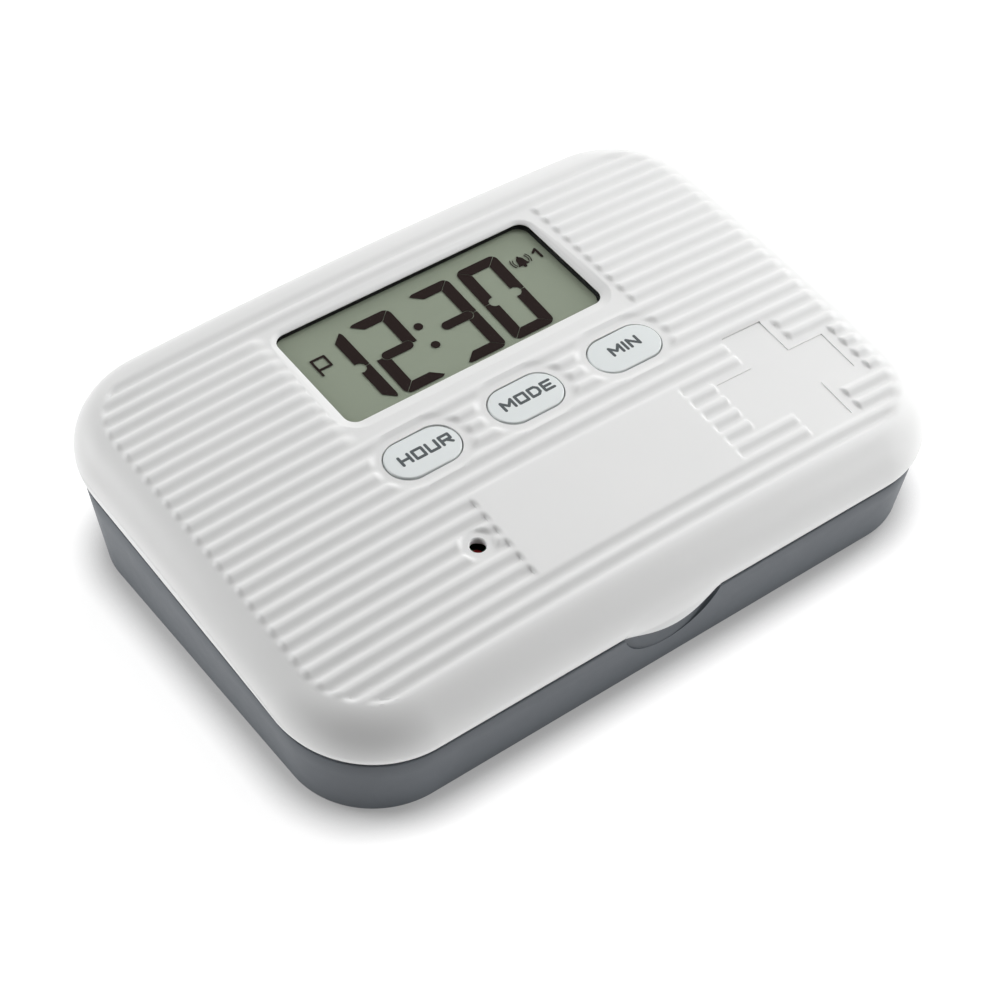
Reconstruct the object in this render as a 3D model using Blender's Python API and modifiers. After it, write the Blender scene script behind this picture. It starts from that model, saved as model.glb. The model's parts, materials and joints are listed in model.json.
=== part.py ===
"""Electronic pill box: a white lid with a clock, hinged on a grey tray with six compartments.

Lengths are in metres, +Z is up and the box stands on z = 0 with its front towards -Y.
The lid meets the tray in a plane that rises towards the back. That plane is the deck:
what is inside the lid is placed on it, with z measured square to it.
"""

import math

import bmesh
import bpy
from mathutils import Matrix, Vector

# Fields of the lid: beside the window, behind it, from it to the button row, and in front of that row
LEFT_FIELD = 0.0361
WINDOW_LENGTH = 0.0497
RIGHT_FIELD = 0.0342
BACK_FIELD = 0.01155
WINDOW_DEPTH = 0.0219
BUTTON_FIELD = 0.0117
FRONT_FIELD = 0.03835

# Corners of the box, and heights where the lid meets the tray
CORNER_RADIUS = 0.0165
FRONT_PARTING_HEIGHT = 0.0134
BACK_PARTING_HEIGHT = 0.0196
PARTING_GAP = 0.0003

# Top of the lid: how much thicker the lid is at the back, and its crown at the ends and sides
LID_THICKENING = 0.0020
END_CROWN = 0.0020
SIDE_CROWN = 0.0019

# Walls and clearances
LID_WALL = 0.0017
LID_BULGE = 0.0008
LID_FILLET = 0.0060
TOP_STRIP = 0.0100
TRAY_WALL = 0.0018
TRAY_FLOOR = 0.0018
TRAY_DRAW_IN = 0.0018
TRAY_EDGE_ROUND = 0.0013
POCKET_ROUND = 0.0016
DIVIDER_WALL = 0.0012
DIVIDER_DROP = 0.0010
FIT = 0.0002
GAP = 0.0003
OVERRUN = 0.0040

# Hinge at the back
HINGE_OUT = 0.0014
HINGE_SPACING = 0.0640
KNUCKLE_RADIUS = 0.0020
KNUCKLE_CLEARANCE = 0.0003
LID_KNUCKLE_WIDTH = 0.0090
TRAY_KNUCKLE_WIDTH = 0.0050
PIN_RADIUS = 0.0008
PIN_BORE_RADIUS = 0.00095
PIN_END_RECESS = 0.0003

# Thumb lip of the lid and finger scoop of the tray
LIP_HALF_WIDTH = 0.0092
LIP_REACH = 0.0010
LIP_DROP = 0.0010
LIP_EDGE = 0.0007
LIP_HEIGHT = 0.0034
LIP_BACK = 0.0007
SCOOP_RADIUS = 0.0098
SCOOP_RISE = 0.0028
SCOOP_DEPTH = 0.0012
SCOOP_BACKING = 0.0012
SCOOP_BACKING_MARGIN = 0.0020

# Display window
WINDOW_CORNER = 0.0014
WINDOW_SLOPE_WIDTH = 0.0014
WINDOW_SLOPE_DEPTH = 0.0014
WINDOW_EDGE = 0.00035
LENS_LAP = 0.0018
LENS_THICKNESS = 0.0008
LENS_RIM = 0.0012
GASKET_THICKNESS = 0.0006
GASKET_SET_BACK = 0.00015
LCD_LAP = 0.00135
LCD_THICKNESS = 0.0018
LCD_CORNER = 0.0004
LCD_FRAME_WALL = 0.0012
LCD_FRAME_LEDGE = 0.0015
CONNECTOR_HEIGHT = 0.0012
CONNECTOR_END = 0.0042
CONNECTOR_DEPTH = 0.0020

# Buttons, left to right
BUTTON_NAMES = ("hour_button", "mode_button", "minute_button")
BUTTON_ROW_SHIFT = 0.00022
BUTTON_SPACING = 0.0197
BUTTON_HOLE_LENGTH = 0.0135
BUTTON_HOLE_DEPTH = 0.0080
BUTTON_CLEARANCE = 0.00022
BUTTON_PROUD = 0.0002
BUTTON_EDGE_ROUND = 0.0004
BUTTON_FLANGE_LAP = 0.0008
BUTTON_FLANGE_THICKNESS = 0.0008
BUTTON_FLANGE_GAP = 0.00035
BUTTON_STEM_INSET = 0.0020
BUTTON_STEM_DROP = 0.0008
BUTTON_TRAVEL = 0.0006
PAD_MARGIN = 0.0006
PAD_THICKNESS = 0.0008
PAD_CORNER = 0.0010
DOME_BASE_RADIUS = 0.0034
DOME_TOP_RADIUS = 0.0024

# Lamp hole and lamp
LAMP_FROM_WINDOW_END = 0.00185
LAMP_FROM_FRONT = 0.01955
LAMP_HOLE_RADIUS = 0.0013
LAMP_RADIUS = 0.0015
LAMP_RIM_RADIUS = 0.0019
LAMP_RIM_HEIGHT = 0.0008
LAMP_GAP = 0.0006

# Recessed cross
CROSS_FROM_END = 0.02065
CROSS_FROM_FRONT = 0.0200
CROSS_SPAN = 0.0231
CROSS_ARM = 0.0079
CROSS_RECESS = 0.00045

# Inner cover and its screws
COVER_THICKNESS = 0.0022
COVER_BOTTOM = 0.0004
COVER_INSET = 0.0021
COVER_SHIFT = 0.0001
SCREW_FROM_END = 0.0110
SCREW_FROM_SIDE = 0.01075
BOSS_RADIUS = 0.0030
SCREW_HEAD_RADIUS = 0.0019
SCREW_HEAD_HEIGHT = 0.0010
SCREW_SHANK_RADIUS = 0.0010
SCREW_LENGTH = 0.0058
SCREW_HOLE_CLEARANCE = 0.00025
CATCH_WIDTH = 0.0120
CATCH_THICKNESS = 0.0012
CATCH_DROP = 0.0030
CATCH_CLEARANCE = 0.00035
CATCH_RIDGE_RADIUS = 0.0002
CATCH_RIDGE_RISE = 0.0008

# Circuit board and what is on it
BOARD_CLEARANCE = 0.0012
BOARD_THICKNESS = 0.0010
BOARD_FROM_END = 0.0150
BOARD_FROM_FRONT = 0.0149
BOARD_FROM_BACK = 0.0064
BOARD_FROM_CUP = 0.0005
POST_FROM_BOARD_EDGE = 0.0035
POST_FROM_BOARD_END = 0.0070
POST_RADIUS = 0.0022
BOARD_SCREW_HEAD_RADIUS = 0.0015
BOARD_SCREW_HEAD_HEIGHT = 0.0007
BOARD_SCREW_SHANK_RADIUS = 0.0008
BOARD_SCREW_LENGTH = 0.0038
CHIP_FROM_END = 0.0270
CHIP_FROM_BUTTON_ROW = 0.0120
CHIP_RADIUS = 0.0045
CHIP_HEIGHT = 0.0015
CRYSTAL_FROM_END = 0.0230
CRYSTAL_FROM_BACK = 0.0260
CRYSTAL_RADIUS = 0.0010
CRYSTAL_LENGTH = 0.0060
BUZZER_FROM_END = 0.0230
BUZZER_RADIUS = 0.0060
BUZZER_HEIGHT = 0.0032
BUZZER_PORT_RADIUS = 0.0010
BUZZER_PORT_DEPTH = 0.0010

# Coin cell, its cup, contacts and door
CELL_FROM_END = 0.0220
CELL_FROM_FRONT = 0.0240
CELL_RADIUS = 0.0100
CELL_THICKNESS = 0.0032
CELL_STEP_RADIUS = 0.0086
CELL_STEP_HEIGHT = 0.0003
CUP_CLEARANCE = 0.0004
CUP_WALL = 0.0012
CUP_HEADROOM = 0.0011
CUP_ROOF = 0.0008
DOOR_RADIUS = 0.0117
DOOR_THICKNESS = 0.0014
DOOR_TAB_WIDTH = 0.0040
DOOR_TAB_LENGTH = 0.0011
DOOR_TAB_THICKNESS = 0.00055
DOOR_LIP = 0.0006
DOOR_TURN_DEGREES = 45.0
COIN_SLOT_LENGTH = 0.0110
COIN_SLOT_WIDTH = 0.0016
COIN_SLOT_DEPTH = 0.0007
CONTACT_THICKNESS = 0.0003
CONTACT_WIDTH = 0.0040
CONTACT_OFFSET = 0.0026
CONTACT_FOOT = 0.0028
CONTACT_SLOT_MARGIN = 0.0005
CONTACT_SPRING_RISE = 0.0006

# Facets
CORNER_STEPS = 5
LONG_SIDE_STEPS = 5
SHORT_SIDE_STEPS = 2
ROUND_SEGMENTS = 28
SMALL_SEGMENTS = 16
SMOOTH_DEGREES = 35.0

COLOURS = {
    "white_shell": ((0.88, 0.88, 0.87), 0.42, 0.0),
    "slate_shell": ((0.115, 0.145, 0.160), 0.50, 0.0),
    "cool_white_cap": ((0.84, 0.88, 0.88), 0.38, 0.0),
    "inner_white": ((0.80, 0.80, 0.79), 0.50, 0.0),
    "clear_window": ((0.86, 0.90, 0.88), 0.05, 0.0),
    "black_foam": ((0.02, 0.02, 0.02), 0.90, 0.0),
    "display": ((0.27, 0.31, 0.24), 0.20, 0.0),
    "black_plastic": ((0.03, 0.03, 0.03), 0.50, 0.0),
    "grey_rubber": ((0.30, 0.30, 0.31), 0.80, 0.0),
    "green_board": ((0.02, 0.16, 0.07), 0.45, 0.0),
    "steel": ((0.62, 0.62, 0.63), 0.28, 1.0),
    "brass": ((0.78, 0.60, 0.28), 0.30, 1.0),
    "red_lamp": ((0.45, 0.02, 0.02), 0.15, 0.0),
}

BOX_LENGTH = LEFT_FIELD + WINDOW_LENGTH + RIGHT_FIELD
BOX_DEPTH = BACK_FIELD + WINDOW_DEPTH + BUTTON_FIELD + FRONT_FIELD
DECK_TILT = math.atan2(BACK_PARTING_HEIGHT - FRONT_PARTING_HEIGHT, BOX_DEPTH)
MID_PARTING_HEIGHT = (FRONT_PARTING_HEIGHT + BACK_PARTING_HEIGHT) / 2
HINGE_Y = BOX_DEPTH / 2 + HINGE_OUT
DECK_HALF_DEPTH = BOX_DEPTH / 2 / math.cos(DECK_TILT)
LIP_FRONT = (DECK_HALF_DEPTH + LIP_REACH) * math.cos(DECK_TILT) - (LIP_DROP - LIP_EDGE) * math.sin(DECK_TILT)
HINGE_BACK = HINGE_Y + KNUCKLE_RADIUS * math.cos(DECK_TILT)
BOX_SHIFT_Y = (LIP_FRONT - HINGE_BACK) / 2
HINGE_V = HINGE_Y / math.cos(DECK_TILT)
ALONG_V = (math.pi / 2, 0, math.pi / 2)
RIGHT_END = BOX_LENGTH / 2
FRONT_EDGE = -BOX_DEPTH / 2
WINDOW_X = LEFT_FIELD + WINDOW_LENGTH / 2 - RIGHT_END
BUTTON_Y = FRONT_FIELD + FRONT_EDGE
WINDOW_Y = BUTTON_Y + BUTTON_FIELD + WINDOW_DEPTH / 2
LCD_LENGTH = WINDOW_LENGTH + 2 * LCD_LAP
LCD_DEPTH = WINDOW_DEPTH + 2 * LCD_LAP
CONNECTOR_LENGTH = LCD_LENGTH - 2 * CONNECTOR_END
BUTTON_MIDDLE_X = WINDOW_X + BUTTON_ROW_SHIFT
LAMP_X = LEFT_FIELD + LAMP_FROM_WINDOW_END - RIGHT_END
LAMP_Y = FRONT_EDGE + LAMP_FROM_FRONT
CROSS_X = RIGHT_END - CROSS_FROM_END
CROSS_Y = FRONT_EDGE + CROSS_FROM_FRONT
CELL_X = RIGHT_END - CELL_FROM_END
CELL_V = CELL_FROM_FRONT - DECK_HALF_DEPTH
CUP_OUTER_RADIUS = CELL_RADIUS + CUP_CLEARANCE + CUP_WALL
BOARD_RIGHT = RIGHT_END - BOARD_FROM_END
BOARD_STEP_X = CELL_X - CUP_OUTER_RADIUS - BOARD_FROM_CUP
BOARD_STEP_V = CELL_V + CUP_OUTER_RADIUS + BOARD_FROM_CUP
BOARD_FRONT = BOARD_FROM_FRONT - DECK_HALF_DEPTH
BOARD_BACK = DECK_HALF_DEPTH - BOARD_FROM_BACK
COVER_TOP = COVER_BOTTOM + COVER_THICKNESS
BOARD_BOTTOM = COVER_TOP + BOARD_CLEARANCE
BOARD_TOP = BOARD_BOTTOM + BOARD_THICKNESS
DISPLAY_STACK = CONNECTOR_HEIGHT + LCD_THICKNESS + GASKET_THICKNESS + LENS_THICKNESS + 5 * FIT
WINDOW_SEAT = BOARD_TOP + DISPLAY_STACK
WINDOW_TOP = WINDOW_SEAT + WINDOW_EDGE + WINDOW_SLOPE_DEPTH
WINDOW_TOP_HEIGHT = MID_PARTING_HEIGHT + (WINDOW_TOP + WINDOW_Y * math.sin(DECK_TILT)) / math.cos(DECK_TILT)
TOP_RISE = BACK_PARTING_HEIGHT - FRONT_PARTING_HEIGHT + LID_THICKENING
WINDOW_CROWN = END_CROWN * (WINDOW_X / (BOX_LENGTH / 2)) ** 2 + SIDE_CROWN * (WINDOW_Y / (BOX_DEPTH / 2)) ** 2
TOP_HEIGHT = WINDOW_TOP_HEIGHT - TOP_RISE * WINDOW_Y / BOX_DEPTH + WINDOW_CROWN


# Heights of the box

def parting_height(y):
    return MID_PARTING_HEIGHT + y * math.tan(DECK_TILT)


def top_height(x, y):
    along = x / (BOX_LENGTH / 2)
    across = y / (BOX_DEPTH / 2)
    return TOP_HEIGHT + TOP_RISE * y / BOX_DEPTH - END_CROWN * along**2 - SIDE_CROWN * across**2


def to_deck(x, y, z):
    """A point of the box, seen from the deck."""
    rise = z - MID_PARTING_HEIGHT
    v = y * math.cos(DECK_TILT) + rise * math.sin(DECK_TILT)
    w = rise * math.cos(DECK_TILT) - y * math.sin(DECK_TILT)
    return Vector((x, v, w))


def top_on_deck(x, y):
    return to_deck(x, y, top_height(x, y))


# Scene and objects

def clear_scene():
    for old in list(bpy.data.objects):
        bpy.data.objects.remove(old)


def make_collection(name):
    collection = bpy.data.collections.new(name)
    bpy.context.scene.collection.children.link(collection)
    return collection


def make_materials():
    made = {}
    for name, (colour, roughness, metallic) in COLOURS.items():
        material = bpy.data.materials.new(name)
        material.use_nodes = True
        shader = material.node_tree.nodes["Principled BSDF"]
        shader.inputs["Base Color"].default_value = (*colour, 1.0)
        shader.inputs["Roughness"].default_value = roughness
        shader.inputs["Metallic"].default_value = metallic
        made[name] = material
    return made


def make_empty(name, location, parent=None, tilt=0.0):
    empty = bpy.data.objects.new(name, None)
    PARTS.objects.link(empty)
    empty.parent = parent
    empty.location = location
    empty.rotation_euler = (tilt, 0, 0)
    return empty


def make_object(name, mesh, parent, location=(0, 0, 0), rotation=(0, 0, 0), cutter=False):
    thing = bpy.data.objects.new(name, mesh)
    (CUTTERS if cutter else PARTS).objects.link(thing)
    thing.parent = parent
    thing.location = location
    thing.rotation_euler = rotation
    if cutter:
        thing.hide_render = True
        thing.display_type = "WIRE"
    return thing


def finish(thing, material):
    thing.data.materials.append(MATERIALS[material])
    thing.data.shade_smooth()
    thing.data.set_sharp_from_angle(angle=math.radians(SMOOTH_DEGREES))
    return thing


def combine(thing, other, operation):
    modifier = thing.modifiers.new(f"{operation.lower()} {other.name}", "BOOLEAN")
    modifier.operation = operation
    modifier.solver = "EXACT"
    modifier.object = other


def cut(thing, *cutters):
    for cutter in cutters:
        combine(thing, cutter, "DIFFERENCE")


def join(thing, *additions):
    for addition in additions:
        combine(thing, addition, "UNION")


# Meshes

def box_mesh(name, low, high):
    bm = bmesh.new()
    size = [b - a for a, b in zip(low, high)]
    middle = [(a + b) / 2 for a, b in zip(low, high)]
    place = Matrix.Translation(middle) @ Matrix.Diagonal((*size, 1))
    bmesh.ops.create_cube(bm, size=1, matrix=place)
    return bm_to_mesh(bm, name)


def cylinder_mesh(name, radius, low, high, segments=ROUND_SEGMENTS, axis="Z"):
    turns = {"Z": Matrix(), "X": Matrix.Rotation(math.pi / 2, 4, "Y"), "Y": Matrix.Rotation(-math.pi / 2, 4, "X")}
    bm = bmesh.new()
    shift = Matrix.Translation((0, 0, (low + high) / 2))
    bmesh.ops.create_cone(bm, cap_ends=True, segments=segments, radius1=radius, radius2=radius,
                          depth=high - low, matrix=turns[axis] @ shift)
    return bm_to_mesh(bm, name)


def bm_to_mesh(bm, name):
    mesh = bpy.data.meshes.new(name)
    bm.to_mesh(mesh)
    bm.free()
    return mesh


def loft_mesh(name, rings):
    """Skin over rings of points, from the lowest ring to the highest, with a flat cap at each end."""
    bm = bmesh.new()
    rows = [[bm.verts.new(point) for point in ring] for ring in rings]
    count = len(rows[0])
    for lower, upper in zip(rows, rows[1:]):
        for i in range(count):
            j = (i + 1) % count
            bm.faces.new((lower[i], lower[j], upper[j], upper[i]))
    bm.faces.new(rows[-1])
    bm.faces.new(list(reversed(rows[0])))
    bmesh.ops.recalc_face_normals(bm, faces=bm.faces)
    bmesh.ops.triangulate(bm, faces=bm.faces)
    return bm_to_mesh(bm, name)


def rounded_outline(length, depth, radius, corner_steps, long_steps=1, short_steps=1):
    """Points round a rectangle with round corners, anticlockwise, with extra points on its sides."""
    half_x = length / 2 - radius
    half_y = depth / 2 - radius
    corners = ((half_x, half_y, 0), (-half_x, half_y, 1), (-half_x, -half_y, 2), (half_x, -half_y, 3))
    points = []
    for index, (cx, cy, quarter) in enumerate(corners):
        for step in range(corner_steps + 1):
            angle = math.pi / 2 * (quarter + step / corner_steps)
            points.append((cx + radius * math.cos(angle), cy + radius * math.sin(angle)))
        next_x, next_y, next_quarter = corners[(index + 1) % 4]
        start = points[-1]
        angle = math.pi / 2 * (quarter + 1)
        end = (next_x + radius * math.cos(angle), next_y + radius * math.sin(angle))
        steps = long_steps if quarter % 2 == 0 else short_steps
        for step in range(1, steps):
            share = step / steps
            points.append((start[0] + (end[0] - start[0]) * share, start[1] + (end[1] - start[1]) * share))
    return points


def box_ring(inset, height):
    """One ring round the box, drawn in by inset, at the height that the rule gives for x and y."""
    radius = max(CORNER_RADIUS - inset, LID_WALL)
    flat = rounded_outline(BOX_LENGTH - 2 * inset, BOX_DEPTH - 2 * inset, radius, CORNER_STEPS,
                           LONG_SIDE_STEPS, SHORT_SIDE_STEPS)
    return [(x, y, height(x, y)) for x, y in flat]


def circle_ring(radius, height, segments=ROUND_SEGMENTS):
    angles = [2 * math.pi * i / segments for i in range(segments)]
    return [(radius * math.cos(a), radius * math.sin(a), height) for a in angles]


def flat_ring(length, depth, radius, height, steps=CORNER_STEPS):
    return [(x, y, height) for x, y in rounded_outline(length, depth, radius, steps)]


def plate_mesh(name, loops, low, high):
    """A flat plate from one outline and any holes in it, as a 2D curve made a mesh."""
    curve = bpy.data.curves.new(name, "CURVE")
    curve.dimensions = "2D"
    curve.fill_mode = "BOTH"
    curve.extrude = (high - low) / 2
    for loop in loops:
        spline = curve.splines.new("POLY")
        spline.points.add(len(loop) - 1)
        for point, (x, y) in zip(spline.points, loop):
            point.co = (x, y, 0, 1)
        spline.use_cyclic_u = True
    holder = bpy.data.objects.new(name, curve)
    CUTTERS.objects.link(holder)
    bpy.context.view_layer.update()
    evaluated = holder.evaluated_get(bpy.context.evaluated_depsgraph_get())
    mesh = bpy.data.meshes.new_from_object(evaluated)
    bpy.data.objects.remove(holder)
    bm = bmesh.new()
    bm.from_mesh(mesh)
    bmesh.ops.remove_doubles(bm, verts=bm.verts, dist=FIT / 20)
    bmesh.ops.translate(bm, verts=bm.verts, vec=(0, 0, (low + high) / 2))
    bpy.data.meshes.remove(mesh)
    bmesh.ops.recalc_face_normals(bm, faces=bm.faces)
    return bm_to_mesh(bm, name)


def turned_object(name, profile, parent, location, segments=SMALL_SEGMENTS, rotation=(0, 0, 0)):
    """A solid of revolution round its own Z, from a profile that runs from the top to the bottom."""
    mesh = bpy.data.meshes.new(name)
    mesh.from_pydata([(r, 0, z) for r, z in profile], [(i, i + 1) for i in range(len(profile) - 1)], [])
    thing = make_object(name, mesh, parent, location, rotation)
    screw = thing.modifiers.new("turn", "SCREW")
    screw.steps = segments
    screw.render_steps = segments
    screw.use_merge_vertices = True
    screw.merge_threshold = FIT / 20
    screw.use_smooth_shade = True
    return thing


# Tray

def tray_outer_mesh():
    rings = []
    for step in range(4):
        angle = math.pi / 2 * step / 3
        inset = TRAY_DRAW_IN + TRAY_EDGE_ROUND * (1 - math.sin(angle))
        z = TRAY_EDGE_ROUND * (1 - math.cos(angle))
        rings.append(box_ring(inset, lambda x, y, z=z: z))
    for share in (0.5, 1.0):
        rings.append(tray_wall_ring(0, TRAY_EDGE_ROUND, PARTING_GAP / 2, share))
    return loft_mesh("base_tray", rings)


def tray_wall_ring(inset, low, below_parting, share):
    def height(x, y):
        return low + share * (parting_height(y) - below_parting - low)
    return box_ring(inset + TRAY_DRAW_IN * (1 - share), height)


def pocket_mesh():
    rings = []
    low = TRAY_FLOOR + POCKET_ROUND
    for step in range(4):
        angle = math.pi / 2 * step / 3
        inset = TRAY_WALL + TRAY_DRAW_IN + POCKET_ROUND * (1 - math.sin(angle))
        z = TRAY_FLOOR + POCKET_ROUND * (1 - math.cos(angle))
        rings.append(box_ring(inset, lambda x, y, z=z: z))
    rings.append(tray_wall_ring(TRAY_WALL, low, DIVIDER_DROP - GAP, 1.0))
    return loft_mesh("pockets", rings)


def tray_mouth_mesh():
    rings = [box_ring(TRAY_WALL, lambda x, y: parting_height(y) - DIVIDER_DROP),
             box_ring(TRAY_WALL, lambda x, y: parting_height(y) + OVERRUN)]
    return loft_mesh("tray_mouth", rings)


def divider_places():
    inner = BOX_LENGTH / 2 - TRAY_WALL
    return (-inner / 3, inner / 3)


def make_tray(box):
    tray = make_object("base_tray", tray_outer_mesh(), box)
    pockets = make_object("pocket_cutter", pocket_mesh(), box, cutter=True)
    mouth = make_object("tray_mouth_cutter", tray_mouth_mesh(), box, cutter=True)
    half = DIVIDER_WALL / 2
    long_divider = box_mesh("long_divider", (-BOX_LENGTH / 2, -half, 0), (BOX_LENGTH / 2, half, TOP_HEIGHT))
    cut(pockets, make_object("long_divider", long_divider, box, cutter=True))
    for index, x in enumerate(divider_places()):
        mesh = box_mesh("cross_divider", (x - half, -BOX_DEPTH / 2, 0), (x + half, BOX_DEPTH / 2, TOP_HEIGHT))
        cut(pockets, make_object(f"cross_divider_{index + 1}", mesh, box, cutter=True))
    backing_half = LIP_HALF_WIDTH + SCOOP_BACKING_MARGIN
    backing_back = -BOX_DEPTH / 2 + TRAY_WALL + SCOOP_BACKING
    mesh = box_mesh("scoop_backing", (-backing_half, -BOX_DEPTH / 2, 0), (backing_half, backing_back, TOP_HEIGHT))
    backing = make_object("scoop_backing", mesh, box, cutter=True)
    cut(pockets, backing)
    cut(mouth, backing)
    cut(tray, pockets, mouth)
    add_knuckles(tray, HINGE_DECK, tray_knuckles(), lid_knuckles(), -1, TRAY_WALL)
    cut(tray, scoop_cutter(box))
    finish(tray, "slate_shell")
    return tray


def scoop_cutter(box):
    front = -BOX_DEPTH / 2
    mesh = cylinder_mesh("scoop", SCOOP_RADIUS, front - OVERRUN, front + SCOOP_DEPTH, 2 * ROUND_SEGMENTS, "Y")
    return make_object("scoop_cutter", mesh, box, (0, 0, FRONT_PARTING_HEIGHT + SCOOP_RISE), cutter=True)


# Hinge

def lid_knuckles():
    return [(side * HINGE_SPACING / 2, LID_KNUCKLE_WIDTH) for side in (-1, 1)]


def tray_knuckles():
    step = LID_KNUCKLE_WIDTH / 2 + GAP + TRAY_KNUCKLE_WIDTH / 2
    return [(side * HINGE_SPACING / 2 + turn * step, TRAY_KNUCKLE_WIDTH) for side in (-1, 1) for turn in (-1, 1)]


def hinge_half_width():
    return LID_KNUCKLE_WIDTH / 2 + GAP + TRAY_KNUCKLE_WIDTH


def add_knuckles(thing, deck, own, others, side, wall):
    """Hollows the wall round the other side's knuckles, adds this side's own and bores them."""
    radius = KNUCKLE_RADIUS + KNUCKLE_CLEARANCE
    for index, (middle, width) in enumerate(others):
        half = width / 2 + FIT
        mesh = cylinder_mesh("hinge_hollow", radius, middle - half, middle + half, axis="X")
        name = f"{thing.name}_hinge_hollow_{index + 1}"
        cut(thing, make_object(name, mesh, deck, (0, HINGE_V, 0), cutter=True))
    profile = knuckle_profile(side, HINGE_OUT + wall - FIT / 2)
    for index, (middle, width) in enumerate(own):
        name = f"{thing.name}_knuckle_{index + 1}"
        knuckle = plate_mesh(name, [profile], middle - width / 2, middle + width / 2)
        join(thing, make_object(name, knuckle, deck, (0, HINGE_V, 0), ALONG_V, cutter=True))
    half = hinge_half_width() + GAP
    for index, middle in enumerate((-HINGE_SPACING / 2, HINGE_SPACING / 2)):
        name = f"{thing.name}_pin_bore_{index + 1}"
        bore = cylinder_mesh(name, PIN_BORE_RADIUS, middle - half, middle + half, SMALL_SEGMENTS, "X")
        cut(thing, make_object(name, bore, deck, (0, HINGE_V, 0), cutter=True))


def knuckle_profile(side, reach):
    """Barrel round the hinge axis with a web back to the wall, above the deck or below it."""
    first = -math.asin(PARTING_GAP / KNUCKLE_RADIUS)
    last = 3 * math.pi / 2
    loop = [(-reach, side * KNUCKLE_RADIUS), (-reach, side * PARTING_GAP)]
    for step in range(SMALL_SEGMENTS + 1):
        angle = first + (last - first) * step / SMALL_SEGMENTS
        loop.append((-KNUCKLE_RADIUS * math.cos(angle), -side * KNUCKLE_RADIUS * math.sin(angle)))
    return loop


def make_hinge_pins():
    half = hinge_half_width() - PIN_END_RECESS
    for name, side in (("hinge_pin_left", -1), ("hinge_pin_right", 1)):
        mesh = cylinder_mesh(name, PIN_RADIUS, -half, half, SMALL_SEGMENTS, "X")
        finish(make_object(name, mesh, HINGE_DECK, (side * HINGE_SPACING / 2, HINGE_V, 0)), "steel")


# Lid

def lid_outer_mesh():
    """The outside of the lid: wall, rounded edge, then the crowned top."""
    wall_steps = 3
    rings = [lid_wall_ring(step / wall_steps) for step in range(wall_steps + 1)]
    rings += lid_cap_rings(-LID_BULGE, LID_FILLET, 0, 4)
    return loft_mesh("lid_shell", rings)


def lid_hollow_mesh():
    """The hollow of the lid, from below the parting plane to the underside of its top."""
    fillet = LID_FILLET - LID_WALL
    rings = [box_ring(LID_WALL, lambda x, y: parting_height(y) - OVERRUN),
             box_ring(LID_WALL, lambda x, y: top_height(x, y) - LID_WALL - fillet)]
    rings += lid_cap_rings(LID_WALL, fillet, LID_WALL, 3)
    return loft_mesh("lid_hollow", rings)


def lid_cap_rings(inset, fillet, below_top, steps):
    """Rings round the rounded edge and over the crowned top, at a depth below the top."""
    rings = []
    for step in range(1, steps + 1):
        angle = math.pi / 2 * step / steps
        turn = fillet * (1 - math.cos(angle))
        drop = below_top + fillet * (1 - math.sin(angle))
        rings.append(box_ring(inset + turn, lambda x, y, drop=drop: top_height(x, y) - drop))
    edge = inset + fillet
    last = BOX_DEPTH / 2 - TOP_STRIP / 2
    for step in range(1, 4):
        rings.append(box_ring(edge + (last - edge) * step / 3, lambda x, y: top_height(x, y) - below_top))
    return rings


def lid_wall_ring(share):
    outset = LID_BULGE * math.sin(math.pi / 2 * share)

    def height(x, y):
        low = parting_height(y) + PARTING_GAP / 2
        high = top_height(x, y) - LID_FILLET
        return low + (high - low) * share
    return box_ring(-outset, height)


def window_cutter_mesh():
    rim = WINDOW_SEAT + WINDOW_EDGE
    grow = OVERRUN * WINDOW_SLOPE_WIDTH / WINDOW_SLOPE_DEPTH
    rings = [flat_ring(WINDOW_LENGTH, WINDOW_DEPTH, WINDOW_CORNER, WINDOW_SEAT - OVERRUN),
             flat_ring(WINDOW_LENGTH, WINDOW_DEPTH, WINDOW_CORNER, rim),
             flat_ring(WINDOW_LENGTH + 2 * grow, WINDOW_DEPTH + 2 * grow, WINDOW_CORNER + grow, rim + OVERRUN)]
    return loft_mesh("window", rings)


def window_place():
    place = top_on_deck(WINDOW_X, WINDOW_Y)
    return Vector((place.x, place.y, 0))


def lens_size():
    return WINDOW_LENGTH + 2 * LENS_LAP, WINDOW_DEPTH + 2 * LENS_LAP


def button_places():
    return [top_on_deck(BUTTON_MIDDLE_X + turn * BUTTON_SPACING, BUTTON_Y) for turn in (-1, 0, 1)]


def screw_places():
    x = RIGHT_END - SCREW_FROM_END
    y = BOX_DEPTH / 2 - SCREW_FROM_SIDE
    return [top_on_deck(sx * x, sy * y) for sy in (-1, 1) for sx in (-1, 1)]


def board_screw_places():
    """Screws near three corners of the board: front left, back left and back right."""
    x = BOARD_RIGHT - POST_FROM_BOARD_EDGE
    front = BOARD_FRONT + POST_FROM_BOARD_END
    back = BOARD_BACK - POST_FROM_BOARD_END
    places = []
    for place_x, v in ((-x, front), (-x, back), (x, back)):
        places.append(Vector((place_x, v, top_on_deck(place_x, v).z)))
    return places


def lip_mesh():
    """Thumb lip: a rim that swells out of the front wall and below it, made of slices along X."""
    front = -DECK_HALF_DEPTH
    rings = []
    steps = 10
    for step in range(steps + 1):
        across = 2 * step / steps - 1
        swell = max(1 - across**2, 0)
        low = PARTING_GAP - (LIP_DROP + PARTING_GAP) * swell
        out = front + LIP_BACK / 4 - (LIP_BACK / 4 + LIP_REACH) * swell
        root = front + LIP_BACK / 2
        section = [(front + LIP_BACK, low), (out, low), (out, low + LIP_EDGE),
                   (root, LIP_HEIGHT), (front + LIP_BACK, LIP_HEIGHT)]
        rings.append([(across * LIP_HALF_WIDTH, v, w) for v, w in section])
    return loft_mesh("thumb_lip", rings)


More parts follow.
